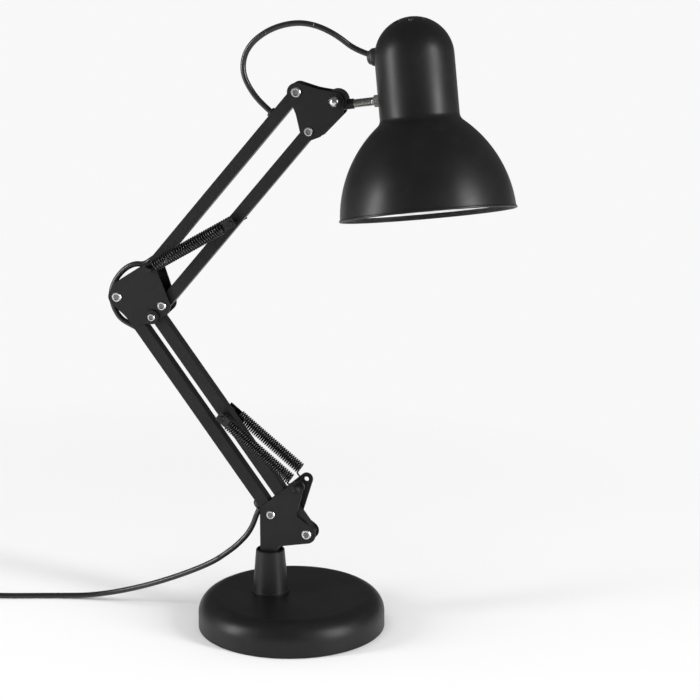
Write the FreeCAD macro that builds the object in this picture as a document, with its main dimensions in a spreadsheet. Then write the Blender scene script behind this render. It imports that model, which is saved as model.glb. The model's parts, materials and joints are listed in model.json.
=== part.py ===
import FreeCAD, Part, Sketcher
import os, math
from FreeCAD import Vector, Placement, Rotation

# Spring-balanced desk lamp: round weighted base, tapered collar, two
# parallelogram arms of square tube, and a bell shade on a short stem.
# X runs along the arms, Y is depth (the front of the lamp is -Y), Z is up.
# The origin is the centre of the base's underside.  Lengths in mm.

os.makedirs("parts", exist_ok=True)
doc = FreeCAD.newDocument("SpringLamp")
sheet = doc.addObject("Spreadsheet::Sheet", "Sizes")

SIZES = [
    # base
    ("base_dia", 188.0, "outer diameter of the base cover"),
    ("base_height", 34.0, "height of the base cover"),
    ("base_round", 19.0, "rounding between side and top of the cover"),
    ("cover_wall", 1.5, "sheet thickness of the cover"),
    ("cover_lift", 0.6, "gap from the floor to the cover's edge"),
    ("pad_height", 2.0, "thickness of the felt pad"),
    ("weight_height", 14.0, "thickness of the iron disc"),
    ("weight_gap", 0.5, "clearance between the iron disc and the cover"),
    ("post_dia", 34.0, "diameter of the post on the iron disc"),
    ("swivel_x", -21.8, "swivel axis from the base axis"),
    # collar and spigot
    ("collar_height", 45.0, "height of the tapered collar"),
    ("collar_foot_dia", 36.0, "diameter at the collar's foot"),
    ("collar_top_dia", 28.8, "diameter at the collar's top"),
    ("collar_lip", 0.8, "how far the foot's lip stands out"),
    ("collar_mouth_dia", 25.6, "diameter of the open mouth"),
    ("collar_mouth_deep", 17.0, "depth of the open mouth"),
    ("spigot_dia", 12.0, "diameter of the turning spigot"),
    ("spigot_len", 24.0, "length of the turning spigot"),
    ("spigot_clear", 0.05, "radial running clearance of the spigot"),
    ("bolt_dia", 8.0, "diameter of the collar's bolt"),
    ("bolt_head_dia", 13.0, "diameter of the bolt's head"),
    ("bolt_head_high", 5.0, "height of the bolt's head"),
    # arm tubes
    ("tube_side", 12.0, "outer side of the square tubes"),
    ("tube_wall", 1.0, "wall of the square tubes"),
    ("lower_len", 266.0, "pin to pin length of the lower arm"),
    ("lower_angle", 126.06, "angle of the lower arm from +X"),
    ("upper_len", 234.6, "pin to pin length of the upper arm"),
    ("upper_angle", 50.03, "angle of the upper arm from +X"),
    ("rear_bar_shift", 1.5, "centre line of lower bar B from its pins"),
    ("foot_x", 3.0, "foot pin of bar A from the swivel axis"),
    ("foot_z", 117.4, "height of the foot pin of bar A"),
    ("lower_link_x", 37.0, "bar A pin to bar B pin"),
    ("lower_link_z", -17.8, "bar A pin to bar B pin"),
    ("elbow_c_x", 34.7, "elbow pin of bar A to pin of bar C"),
    ("elbow_c_z", 31.1, "elbow pin of bar A to pin of bar C"),
    ("upper_link_x", 12.3, "bar C pin to bar D pin"),
    ("upper_link_z", -37.3, "bar C pin to bar D pin"),
    ("tilt_x", 38.4, "upper pin of bar C to the shade's tilt bolt"),
    ("tilt_z", -7.4, "upper pin of bar C to the shade's tilt bolt"),
    # plates and pins
    ("plate_wall", 1.6, "thickness of all plates"),
    ("narrow_gap", 12.8, "between the plates of foot and head bracket"),
    ("elbow_gap", 17.0, "between the plates of the elbow"),
    ("side_clear", 0.2, "bar's boss to elbow plate"),
    ("pin_dia", 6.0, "diameter of the pivot pins"),
    ("pin_clear", 0.05, "radial running clearance on the pins"),
    ("rivet_dia", 10.0, "diameter of the rivet heads"),
    ("rivet_small_dia", 9.0, "diameter of the smaller rivet heads"),
    ("rivet_boss_dia", 7.8, "diameter of the rivet head on the raised washer"),
    ("rivet_high", 1.5, "height of the rivet heads"),
    ("eyelet_edge", 1.9, "width of the ring round a rivet's recess"),
    ("eyelet_deep", 0.6, "depth of the recess"),
    ("boss_dia", 14.0, "diameter of the raised washer at the elbow"),
    ("boss_high", 3.0, "height of the raised washer at the elbow"),
    ("lobe_foot", 9.3, "plate radius round the foot pin of bar B"),
    ("lobe_elbow", 8.9, "plate radius round the elbow pins"),
    ("lobe_head", 9.0, "plate radius round the head pins"),
    ("strip_left", -8.2, "left side of the foot strip"),
    ("strip_right", 9.6, "right side of the foot strip"),
    ("stud_x", 32.0, "front spring stud from the swivel axis"),
    ("stud_z", 149.6, "height of the front spring stud"),
    ("rear_stud_x", 28.5, "rear spring stud from the swivel axis"),
    ("rear_stud_z", 145.1, "height of the rear spring stud"),
    ("stud_disc_dia", 13.4, "disc at the root of the front stud"),
    ("tip_x", 36.5, "tip hole of the rear foot plate"),
    ("tip_z", 153.4, "tip hole of the rear foot plate"),
    ("tip_hole_dia", 4.8, "diameter of the tip hole"),
    # springs
    ("spring_depth", 18.0, "spring axis from the middle plane"),
    ("wire_dia", 1.7, "spring wire"),
    ("coil_dia", 12.0, "outer diameter of the springs"),
    ("lower_turns", 34.0, "turns of each lower spring"),
    ("upper_turns", 30.0, "turns of each upper spring"),
    ("lower_tab_at", 144.0, "spring pin along bar B"),
    ("upper_tab_at", 115.0, "spring pin along bar D"),
    ("spring_pin_dia", 4.4, "diameter of the spring pins"),
    ("groove_dia", 4.4, "diameter under the spring hooks"),
    ("groove_wide", 2.2, "width of the groove for a hook"),
    ("flange_dia", 6.4, "diameter of the ends beside a hook"),
    ("flange_wide", 1.3, "thickness of the end beside a hook"),
    ("hook_clear", 0.25, "hook wire to its pin"),
    ("tab_wide", 9.4, "width of the spring tabs"),
    ("tab_past", 5.2, "end of a spring tab past its pin"),
    ("tab_thick", 1.5, "thickness of the spring tabs"),
    ("tab_len", 8.5, "pin to plug on a spring tab"),
    ("plug_len", 7.0, "length of the plug in a spring's end"),
    ("plug_clear", 0.2, "plug to coil"),
    ("lower_hook_off", 4.8, "coil axis above the stud, front lower spring"),
    ("rear_hook_off", 10.5, "coil axis above the stud, rear lower spring"),
    ("coil_start", 10.5, "hook pin to the first turn"),
    # head
    ("stem_tilt", 8.55, "rise of the stem from +X"),
    ("shade_roll", 12.4, "turn of the shade about its stem"),
    ("stem_drop", 4.75, "stem axis below the tilt bolt"),
    ("stem_reach", 79.0, "tilt bolt to the shade's axis along the stem"),
    ("knuckle_dia", 22.0, "disc of the knuckle"),
    ("neck_dia", 9.8, "neck of the knuckle"),
    ("neck_reach", 15.9, "tilt bolt to the end of the neck"),
    ("stem_dia", 8.2, "outer diameter of the stem"),
    ("stem_bore", 5.4, "bore of the stem"),
    ("stem_seat", 5.5, "tilt bolt to the stem's end in the neck"),
    ("nut_wide", 4.7, "thickness of the stem nut"),
    ("nut_flats", 10.0, "stem nut across flats"),
    ("dome_dia", 10.4, "diameter of the dome nut"),
    ("washer_dia", 14.0, "diameter of the washer under the dome nut"),
    ("washer_high", 1.0, "thickness of that washer"),
    # shade
    ("rim_dia", 168.8, "diameter of the shade's rim"),
    ("cap_dia", 75.8, "diameter of the shade's cap"),
    ("shade_wall", 1.0, "sheet thickness of the shade"),
    ("rim_below", 112.7, "rim below the stem axis"),
    ("bell_high", 89.3, "height of the bell above the rim"),
    ("bell_mid_at", 48.0, "height of the bell's middle point"),
    ("bell_mid_rad", 71.5, "radius of the bell's middle point"),
    ("neck_round", 8.6, "hollow rounding between bell and cap"),
    ("cap_straight", 150.1, "rim to the top of the cap's straight wall"),
    ("bead_high", 2.4, "height of the rolled bead at the rim"),
    ("bead_out", 1.0, "how far the bead stands out"),
    ("vent_dia", 5.8, "vent holes in the cap"),
    ("vent_ring", 37.0, "diameter of the ring of vent holes"),
    ("vent_count", 8.0, "number of vent holes"),
    ("inlet_at", 41.5, "cable inlet above the stem axis"),
    ("inlet_dia", 17.2, "diameter of the rubber inlet at the cap"),
    ("inlet_reach", 7.4, "how far the rubber inlet stands out"),
    ("inlet_lean", 26.0, "slant of the cable in the inlet"),
    # lampholder and bulb
    ("holder_dia", 38.0, "diameter of the lampholder"),
    ("holder_mouth", -3.0, "mouth of the lampholder from the stem axis"),
    ("holder_high", 29.0, "height of the lampholder's body"),
    ("strap_wall", 1.8, "thickness of the holder's strap"),
    ("strap_wide", 14.0, "width of the holder's strap"),
    ("strap_at", 34.0, "underside of the strap above the stem axis"),
    ("nipple_dia", 9.8, "threaded nipple of the lampholder"),
    ("screw_dia", 26.0, "screw cap of the bulb"),
    ("bulb_dia", 60.0, "diameter of the bulb"),
    ("bulb_len", 106.0, "length of the bulb"),
    ("bulb_top", 20.0, "top of the bulb from the stem axis"),
    ("glass_wall", 0.8, "wall of the bulb"),
    # cable
    ("cable_dia", 5.6, "diameter of the cable"),
    ("cable_clear", 0.25, "cable to the edge of its holes"),
    ("cable_exit", 33.6, "end of the upper arm to its cable hole"),
    ("coil_radius", 43.5, "outer loop of the stored cord"),
    ("coil_step", 6.15, "loop to loop in the stored cord"),
    ("coil_loops", 3.0, "loops in each layer of the stored cord"),
    ("relief_len", 24.0, "length of the plug's tapered relief"),
    ("prong_dia", 4.0, "pins of the plug"),
    ("prong_len", 19.0, "length of the plug's pins"),
    ("prong_gap", 18.6, "distance of the plug's pins"),
]


class Q:
    """A size with its value and its formula in the sheet's names."""

    def __init__(self, value, text):
        self.v, self.t = float(value), text

    def __float__(self):
        return self.v

    def __add__(self, o):
        return Q(self.v + float(o), "(%s + %s)" % (self.t, txt(o)))

    def __radd__(self, o):
        return Q(float(o) + self.v, "(%s + %s)" % (txt(o), self.t))

    def __sub__(self, o):
        return Q(self.v - float(o), "(%s - %s)" % (self.t, txt(o)))

    def __rsub__(self, o):
        return Q(float(o) - self.v, "(%s - %s)" % (txt(o), self.t))

    def __mul__(self, o):
        return Q(self.v * float(o), "(%s * %s)" % (self.t, txt(o)))

    __rmul__ = __mul__

    def __truediv__(self, o):
        return Q(self.v / float(o), "(%s / %s)" % (self.t, txt(o)))

    def __neg__(self):
        return Q(-self.v, "(-1 * %s)" % self.t)


def txt(x):
    return x.t if isinstance(x, Q) else "%.9g" % float(x)


S = {}
for n, (alias, value, note) in enumerate(SIZES, 1):
    sheet.set("A%d" % n, alias)
    sheet.set("B%d" % n, repr(value))
    sheet.set("C%d" % n, note)
    sheet.setAlias("B%d" % n, alias)
doc.recompute()
for alias, value, note in SIZES:
    S[alias] = Q(float(sheet.get(alias)), "Sizes." + alias)


def val(name):
    return S[name].v


def bind(obj, prop, x):
    """Set a property, from the sheet where the size comes from it."""
    if isinstance(x, Q):
        obj.setExpression(prop, x.t)
    else:
        setattr(obj, prop, x)


NODES = {}


def node(obj, name, place=None):
    obj.Label = name
    if place is not None:
        obj.Placement = place
    NODES[name] = obj
    return obj


# ---------------------------------------------------------------- sketches
def origin_plane(body, role):
    for f in body.Origin.OriginFeatures:
        if f.Role == role:
            return f


def new_body(name):
    return doc.addObject("PartDesign::Body", name + "_body")


def new_sketch(body, role="XZ_Plane", offset=0.0):
    sk = body.newObject("Sketcher::SketchObject", body.Name + "_sketch")
    sk.AttachmentSupport = [(origin_plane(body, role), "")]
    sk.MapMode = "FlatFace"
    if isinstance(offset, Q):
        sk.setExpression("AttachmentOffset.Base.z", offset.t)
    elif offset:
        sk.AttachmentOffset = Placement(Vector(0, 0, offset), Rotation())
    return sk


def near_end(sk, g, p):
    a, b = sk.getPoint(g, 1), sk.getPoint(g, 2)
    return 1 if a.distanceToPoint(p) < b.distanceToPoint(p) else 2


def fix_point(sk, g, pos, x, y):
    """Tie a sketch point to the sheet where its place comes from it."""
    for kind, c in (("DistanceX", x), ("DistanceY", y)):
        if isinstance(c, Q) and abs(c.v) > 1e-6:
            k = sk.addConstraint(Sketcher.Constraint(kind, -1, 1, g, pos, c.v))
            sk.setExpression("Constraints[%d]" % k, c.t)


def outline(sk, pts):
    """Closed outline: (x, y) ends a line, (x, y, mx, my) ends an arc that
    passes through (mx, my)."""
    P = [Vector(float(p[0]), float(p[1]), 0) for p in pts]
    ids = []
    for i in range(len(pts)):
        a, b, item = P[i - 1], P[i], pts[i]
        if len(item) == 4:
            m = Vector(float(item[2]), float(item[3]), 0)
            ids.append(sk.addGeometry(Part.Arc(a, m, b), False))
        else:
            ids.append(sk.addGeometry(Part.LineSegment(a, b), False))
    for i in range(len(pts)):
        j = (i + 1) % len(pts)
        sk.addConstraint(Sketcher.Constraint(
            "Coincident", ids[i], near_end(sk, ids[i], P[i]),
            ids[j], near_end(sk, ids[j], P[i])))
    for i, item in enumerate(pts):
        fix_point(sk, ids[i], near_end(sk, ids[i], P[i]), item[0], item[1])
    return ids


def ring(sk, x, y, radius):
    g = sk.addGeometry(Part.Circle(Vector(float(x), float(y), 0),
                                   Vector(0, 0, 1), float(radius)), False)
    if isinstance(radius, Q):
        k = sk.addConstraint(Sketcher.Constraint("Radius", g, radius.v))
        sk.setExpression("Constraints[%d]" % k, radius.t)
    fix_point(sk, g, 3, x, y)
    return g


def turned(name, pts, along="Z", place=None, keep=True):
    """Solid of revolution about Z or Y, from (radius, height) points."""
    body = new_body(name)
    sk = new_sketch(body, "XZ_Plane" if along == "Z" else "XY_Plane")
    outline(sk, pts)
    rev = body.newObject("PartDesign::Revolution", name + "_turn")
    rev.Profile = sk
    rev.ReferenceAxis = (sk, ["V_Axis"])
    rev.Angle = 360.0
    sk.Visibility = False
    if place is not None:
        body.Placement = place
    return node(body, name) if keep else body


def pad(body, sk, length):
    p = body.newObject("PartDesign::Pad", body.Name + "_pad")
    p.Profile = sk
    bind(p, "Length", length)
    return p


def pocket(body, sk):
    p = body.newObject("PartDesign::Pocket", body.Name + "_pocket")
    p.Profile = sk
    p.Type = "ThroughAll"
    return p


def tangent_chain(circles):
    """Outline round a row of circles (x, y, r), counter-clockwise.  A
    negative radius is a hollow corner, its centre outside the plate."""
    n = len(circles)
    lines = []
    for i in range(n):
        x1, y1, r1 = [float(c) for c in circles[i]]
        x2, y2, r2 = [float(c) for c in circles[(i + 1) % n]]
        d = math.hypot(x2 - x1, y2 - y1)
        th = math.atan2(y2 - y1, x2 - x1) - math.asin((r2 - r1) / d)
        nx, ny = -math.sin(th), math.cos(th)
        lines.append(((x1 - r1 * nx, y1 - r1 * ny),
                      (x2 - r2 * nx, y2 - r2 * ny), th))
    pts = []
    for i in range(n):
        x, y, r = [float(c) for c in circles[i]]
        t0, t1 = lines[i - 1][2], lines[i][2]
        turn = (t1 - t0) % (2 * math.pi)
        if r < 0:
            turn = turn - 2 * math.pi
        tm = t0 + turn / 2
        mx, my = x + r * math.sin(tm), y - r * math.cos(tm)
        p0, p1 = lines[i - 1][1], lines[i][0]
        pts.append(p0)
        pts.append((p1[0], p1[1], mx, my))
    return pts


def plate(name, circles, holes, inner, wall, front):
    """Flat plate in the XZ plane, on the front or the rear side."""
    body = new_body(name)
    start = inner if front else -(inner + wall)
    sk = new_sketch(body, "XZ_Plane", start)
    outline(sk, tangent_chain(circles))
    pad(body, sk, wall)
    hs = new_sketch(body, "XZ_Plane", inner + wall + 30.0)
    for x, z, r in holes:
        ring(hs, x, z, r)
    pocket(body, hs)
    return node(body, name)


# -------------------------------------------------------------- primitives
def cylinder(radius, height, base, along="Y"):
    c = doc.addObject("Part::Cylinder", "Cylinder")
    bind(c, "Radius", radius)
    bind(c, "Height", height)
    rot = {"Y": Rotation(Vector(1, 0, 0), -90), "Z": Rotation(),
           "X": Rotation(Vector(0, 1, 0), 90)}[along]
    c.Placement = Placement(Vector(*[float(b) for b in base]), rot)
    for ax, b in zip("xyz", base):
        if isinstance(b, Q):
            c.setExpression("Placement.Base." + ax, b.t)
    return c


def block(lx, ly, lz, base):
    b = doc.addObject("Part::Box", "Box")
    bind(b, "Length", lx)
    bind(b, "Width", ly)
    bind(b, "Height", lz)
    b.Placement = Placement(Vector(*[float(v) for v in base]), Rotation())
    for ax, v in zip("xyz", base):
        if isinstance(v, Q):
            b.setExpression("Placement.Base." + ax, v.t)
    return b


def fuse(objs, label="Fusion"):
    f = doc.addObject("Part::MultiFuse", label)
    f.Shapes = objs
    return f


def cut(base, tool, label="Cut"):
    c = doc.addObject("Part::Cut", label)
    c.Base, c.Tool = base, tool
    return c


def shape_of(name, shape, place=None, keep=True):
    f = doc.addObject("Part::Feature", name + "_shape")
    f.Shape = shape
    if place is not None:
        f.Placement = place
    return node(f, name) if keep else f


# ------------------------------------------------------------- cable paths
def cable_wire(points, tag):
    """Straight runs joined by tangent arcs; prints the arcs' radii."""
    P = [Vector(*p) for p in points]
    n = len(P)
    run = [P[i].distanceToPoint(P[i + 1]) for i in range(n - 1)]
    edges, at, radii = [], P[0], []
    for i in range(1, n - 1):
        a = (P[i] - P[i - 1]).normalize()
        b = (P[i + 1] - P[i]).normalize()
        turn = a.getAngle(b)
        t = 0.45 * min(run[i - 1], run[i])
        r = t / math.tan(turn / 2)
        radii.append(round(r, 1))
        p, q = P[i] - a * t, P[i] + b * t
        bis = (b - a).normalize()
        mid = P[i] + bis * (math.sqrt(r * r + t * t) - r)
        edges.append(Part.LineSegment(at, p).toShape())
        edges.append(Part.Arc(p, mid, q).toShape())
        at = q
    edges.append(Part.LineSegment(at, P[-1]).toShape())
    wire = Part.Wire(edges)
    print("cable %-18s length %7.1f  radii %s" % (tag, wire.Length, radii))
    return wire


def pipe(wire, radius):
    e = wire.Edges[0]
    start = e.valueAt(e.FirstParameter)
    direction = e.tangentAt(e.FirstParameter)
    circle = Part.Wire([Part.Circle(start, direction, radius).toShape()])
    solid = wire.makePipeShell([circle], True, False)
    if solid.ShapeType != "Solid":
        solid = Part.Solid(Part.Shell(solid.Faces))
    if solid.Volume < 0:
        solid.reverse()
    return solid


def cable(name, points, radius=None, keep=True):
    r = val("cable_dia") / 2 if radius is None else radius
    wire = cable_wire(points, name)
    solid = pipe(wire, r)
    want = math.pi * r * r * wire.Length
    if keep:
        print("      %-18s volume %9.1f, section x length %9.1f"
              % (name, solid.Volume, want))
    return shape_of(name, solid, None, keep)


# ---------------------------------------------------------------- springs
def biarc(p0, t0, p1, t1):
    """Two arcs from p0 to p1 with the given end directions."""
    v = p1 - p0
    tt = t0 + t1
    den = 2 * (1 - t0.dot(t1))
    if abs(den) < 1e-9:
        d = v.dot(v) / (4 * v.dot(t1))
    else:
        d = (-v.dot(tt) + math.sqrt(v.dot(tt) ** 2 + den * v.dot(v))) / den
    j = (p0 + t0 * d + p1 - t1 * d) * 0.5
    out = []
    for a, t, b in ((p0, t0, j), (p1, t1 * -1, j)):
        c = b - a
        perp = c - t * c.dot(t)
        if perp.Length < 1e-7:
            edge = Part.LineSegment(a, b) if t is t0 else Part.LineSegment(b, a)
        else:
            u = Vector(perp).normalize()
            r = c.dot(c) / (2 * c.dot(u))
            centre = a + u * r
            m = (a - centre) + (b - centre)
            if m.Length < 1e-7:
                m = t
            m.normalize()
            mid = centre + m * (abs(r) if c.dot(t) > 0 else -abs(r))
            edge = Part.Arc(a, mid, b) if t is t0 else Part.Arc(b, mid, a)
        out.append(edge.toShape())
    return out


def spring(name, hook, far, off, top, groove, turns):
    """Extension spring from a hook on one pin to a plug on the other.
    hook and far are the two pins, off lifts the coil's axis off the hook
    pin, top puts the first turn's start above instead of below."""
    wr = val("wire_dia") / 2
    rc = val("coil_dia") / 2 - wr
    rl = groove / 2 + wr + val("hook_clear")
    base = far - hook
    length = math.sqrt(base.Length ** 2 - off * off)
    tilt = math.atan2(base.z, base.x) - math.asin(off / base.Length)
    ax = Vector(math.cos(tilt), 0, math.sin(tilt))
    up = Vector(-math.sin(tilt), 0, math.cos(tilt))
    if off:
        # the coil's axis passes above the hook pin and meets the far pin
        tilt = math.atan2(base.z, base.x) + math.asin(off / base.Length)
        ax = Vector(math.cos(tilt), 0, math.sin(tilt))
        up = Vector(math.sin(tilt), 0, -math.cos(tilt))
    side = Vector(0, 1, 0)
    o = hook + up * off

    def at(x, y, z):
        return o + ax * x + side * y + up * z

    start = val("coil_start")
    end = length - val("tab_len") - 0.6
    pitch = (end - start) / turns
    phase = math.pi / 2 if top else -math.pi / 2

    def helix(k):
        a = 2 * math.pi * k + phase
        p = at(start + pitch * k, rc * math.cos(a), rc * math.sin(a))
        t = (ax * (pitch / (2 * math.pi)) - side * (rc * math.sin(a))
             + up * (rc * math.cos(a))).normalize()
        return p, t

    edges = []
    # open loop round the pin, three quarters of a turn
    cz = -off
    zq = [(rl, 0), (0, -rl), (-rl, 0), (0, rl)]
    for i in range(3):
        (x0, z0), (x1, z1) = zq[i], zq[i + 1]
        m = Vector(x0 + x1, 0, z0 + z1).normalize() * rl
        edges.append(Part.Arc(at(x0, 0, cz + z0), at(m.x, 0, cz + m.z),
                              at(x1, 0, cz + z1)).toShape())
    p, t = at(0, 0, cz + rl), ax
    q, u = helix(0.0)
    edges += biarc(p, t, q, u)
    steps = int(round(turns * 2))
    for i in range(steps):
        a, ta = helix(i / 2.0)
        b, tb = helix((i + 1) / 2.0)
        edges += biarc(a, ta, b, tb)
    wire = Part.Wire(edges)
    pts = wire.discretize(Distance=0.8)
    least = 1e9
    near = int(3.2 * val("wire_dia") / 0.8) + 2
    cell = {}
    for i, w in enumerate(pts):
        key = (int(w.x // 6), int(w.y // 6), int(w.z // 6))
        for dx in (-1, 0, 1):
            for dy in (-1, 0, 1):
                for dz in (-1, 0, 1):
                    for j in cell.get((key[0] + dx, key[1] + dy, key[2] + dz), ()):
                        if i - j > near:
                            least = min(least, w.distanceToPoint(pts[j]))
        cell.setdefault(key, []).append(i)
    print("spring %-20s length %6.1f pitch %.2f least gap %.2f"
          % (name, length, pitch, least - 2 * wr))
    return shape_of(name, pipe(wire, wr)), tilt


# ------------------------------------------------------------ main places
SX = val("swivel_x")


def arm_dir(angle):
    a = math.radians(angle)
    return (Vector(math.cos(a), 0, math.sin(a)),
            Vector(-math.sin(a), 0, math.cos(a)))


tA, nA = arm_dir(val("lower_angle"))
tC, nC = arm_dir(val("upper_angle"))
L1 = Vector(SX + val("foot_x"), 0, val("foot_z"))
G1 = Vector(val("lower_link_x"), 0, val("lower_link_z"))
L2 = L1 + G1
P1 = L1 + tA * val("lower_len")
P3 = P1 + G1
P4 = P1 + Vector(val("elbow_c_x"), 0, val("elbow_c_z"))
G2 = Vector(val("upper_link_x"), 0, val("upper_link_z"))
P2 = P4 + G2
U1 = P4 + tC * val("upper_len")
U2 = U1 + G2
U3 = U1 + Vector(val("tilt_x"), 0, val("tilt_z"))
STUD = Vector(SX + val("stud_x"), 0, val("stud_z"))
REAR_STUD = Vector(SX + val("rear_stud_x"), 0, val("rear_stud_z"))
TIP = Vector(SX + val("tip_x"), 0, val("tip_z"))
SB = L2 + tA * val("lower_tab_at") - nA * val("rear_bar_shift")
SD = P2 + tC * val("upper_tab_at")
ROT_A = Rotation(Vector(0, 1, 0), -val("lower_angle"))
ROT_C = Rotation(Vector(0, 1, 0), -val("upper_angle"))
ROT_K = Rotation(Vector(0, 1, 0), -val("stem_tilt"))
ROT_S = ROT_K.multiply(Rotation(Vector(1, 0, 0), -val("shade_roll")))
tK = ROT_K.multVec(Vector(1, 0, 0))
nK = ROT_K.multVec(Vector(0, 0, 1))
HC = U3 + tK * val("stem_reach") - nK * val("stem_drop")
PLACE_S = Placement(HC, ROT_S)
PLACE_K = Placement(U3, ROT_K)


def on_a(s, n, y=0.0):
    v = L1 + tA * s + nA * n
    return (v.x, y, v.z)


def on_c(s, n, y=0.0):
    v = P4 + tC * s + nC * n
    return (v.x, y, v.z)


def in_shade(x, z, y=0.0):
    v = PLACE_S.multVec(Vector(x, y, z))
    return (v.x, v.y, v.z)


for nm, v in (("L1", L1), ("L2", L2), ("P1", P1), ("P2", P2), ("P3", P3),
              ("P4", P4), ("U1", U1), ("U2", U2), ("U3", U3), ("HC", HC),
              ("SB", SB), ("SD", SD), ("STUD", STUD)):
    print("point %-4s %9.4f %9.4f %9.4f" % (nm, v.x, v.y, v.z))

# -------------------------------------------------------------------- base
R = S["base_dia"] / 2
H = S["base_height"]
RR = S["base_round"]
W = S["cover_wall"]
c45 = math.sqrt(0.5)


def rounded_top(r, h, rr, low):
    """Outer line of a flat dish from its edge to its axis."""
    f = 1 - c45
    return [(r, low), (r, h - rr),
            (r - rr, h, r - rr * f, h - rr * f), (0.0, h)]


cover_pts = rounded_top(R, H, RR, S["cover_lift"])
inner = rounded_top(R - W, H - W, RR - W, S["cover_lift"])
cover_pts += [inner[3]]
cover_pts += [(inner[2][0], inner[2][1]),
              (inner[1][0], inner[1][1], inner[2][2], inner[2][3]), inner[0]]
cover = turned("base_cover", cover_pts)
hs = new_sketch(cover, "XY_Plane", H + 5)
ring(hs, S["swivel_x"], 0.0, S["bolt_dia"] / 2 + 0.2)
pocket(cover, hs)

PH = S["pad_height"]
WR = R - W - S["weight_gap"]
bolt_floor = PH + S["bolt_head_high"] + 0.5
weight = fuse([cylinder(WR, S["weight_height"] - 1.0, (0, 0, PH), "Z"),
               cylinder(S["post_dia"] / 2, H - W - PH,
                        (S["swivel_x"], 0, PH), "Z")])
weight = cut(weight, fuse([
    cylinder(S["bolt_dia"] / 2 + 0.2, H, (S["swivel_x"], 0, 0), "Z"),
    cylinder(S["bolt_head_dia"] / 2 + 0.6, bolt_floor - PH + 1.0,
             (S["swivel_x"], 0, PH - 1.0), "Z")]))
node(weight, "base_weight")
node(cylinder(WR - 0.5, PH, (0, 0, 0), "Z"), "base_pad")

CH = S["collar_height"]
cf, ct, lip = S["collar_foot_dia"] / 2, S["collar_top_dia"] / 2, S["collar_lip"]
mouth = S["collar_mouth_dia"] / 2
bore = S["spigot_dia"] / 2 + S["spigot_clear"]
tap = S["bolt_dia"] / 2 + 0.05
floor_at = CH - S["collar_mouth_deep"]
bore_end = floor_at - S["spigot_len"] - 1.5
collar_place = Placement(Vector(SX, 0, float(H)), Rotation())
turned("base_collar", [
    (tap, 0.0), (cf + lip, 0.0), (cf + lip, 1.6), (cf, 2.6), (ct, CH - 0.8),
    (ct - 0.7, CH), (mouth, CH), (mouth, floor_at), (bore, floor_at),
    (bore, bore_end), (tap, bore_end)], "Z", collar_place)
NODES["base_collar"].setExpression("Placement.Base.x", "Sizes.swivel_x")
NODES["base_collar"].setExpression("Placement.Base.z", "Sizes.base_height")
bolt_top = H + bore_end - 0.3
bolt_low = bolt_floor - S["bolt_head_high"]
node(fuse([
    cylinder(S["bolt_head_dia"] / 2, S["bolt_head_high"],
             (S["swivel_x"], 0, bolt_low), "Z"),
    cylinder(S["bolt_dia"] / 2, bolt_top - bolt_floor + 1.0,
             (S["swivel_x"], 0, bolt_floor - 1.0), "Z")]), "collar_bolt")

# ------------------------------------------------------------ foot bracket
NG = S["narrow_gap"] / 2
EG = S["elbow_gap"] / 2
T = S["plate_wall"]
PR = S["pin_dia"] / 2
HOLE = PR + S["pin_clear"]
seat = H + floor_at + 0.2
sl, sr = S["strip_left"], S["strip_right"]
block_top = S["foot_z"] - S["tube_side"] / 2 - 1.4
spig = fuse([
    cylinder(S["spigot_dia"] / 2, S["spigot_len"] + 1.0,
             (S["swivel_x"], 0, seat - S["spigot_len"]), "Z"),
    cylinder(mouth - 0.4, 3.0, (S["swivel_x"], 0, seat), "Z"),
    block(sr - sl, S["narrow_gap"], block_top - seat - 2.0,
          (S["swivel_x"] + sl, -NG, seat + 2.0))])
node(spig, "swivel_spigot")

strip_low = val("base_height") + float(floor_at) + 3.4
ucol = SX


def foot_plate(name, front):
    lf = val("lobe_foot") if front else val("lobe_foot") - 0.5
    circles = [(ucol + float(sl) + 0.5, strip_low + 0.5, 0.5),
               (ucol + float(sr) - 0.5, strip_low + 0.5, 0.5),
               (ucol + float(sr) + 2.0, L2.z - 16.8, -2.0),
               (L2.x, L2.z, lf)]
    if front:
        circles += [(ucol + 32.6, L1.z + 2.2, -2.5),
                    (STUD.x - 1.2, STUD.z - 1.4, 6.4)]
    else:
        circles += [(ucol + 34.8, L1.z + 0.4, -2.5), (TIP.x, TIP.z, 6.4)]
    circles += [(ucol + float(sl) + 5.2, L1.z + 3.8, 5.2)]
    holes = [(L1.x, L1.z, HOLE), (L2.x, L2.z, HOLE)]
    if front:
        holes.append((STUD.x, STUD.z, 2.0))
    else:
        holes.append((REAR_STUD.x, REAR_STUD.z, 2.0))
        holes.append((TIP.x, TIP.z, S["tip_hole_dia"] / 2))
    return plate(name, circles, holes, NG, T, front)


foot_plate("foot_plate_front", True)
foot_plate("foot_plate_rear", False)

RH = S["rivet_high"]
EE = S["eyelet_deep"]
WIDE, SMALL = S["rivet_dia"] / 2, S["rivet_small_dia"] / 2


def rivet(name, at, half, rd, extra=0.0):
    """Pivot pin with a ring-shaped head at both ends; rd is their radius."""
    a, b = half + extra, half
    ed = rd - S["eyelet_edge"]
    turned(name, [
        (0.0, -(a + RH - EE)), (ed, -(a + RH - EE)), (ed + 0.3, -(a + RH)),
        (rd - 0.5, -(a + RH)), (rd, -(a + RH - 0.6)), (rd, -a), (PR, -a),
        (PR, b), (rd, b), (rd, b + RH - 0.6), (rd - 0.5, b + RH),
        (ed + 0.3, b + RH), (ed, b + RH - EE), (0.0, b + RH - EE)],
        "Y", Placement(at, Rotation()))


rivet("foot_rivet_a", L1, NG + T, SMALL)
rivet("foot_rivet_b", L2, NG + T, WIDE)

GD = S["groove_dia"] / 2
GW = S["groove_wide"]
FD = S["flange_dia"] / 2
FW = S["flange_wide"]
SDp = S["spring_depth"]


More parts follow.
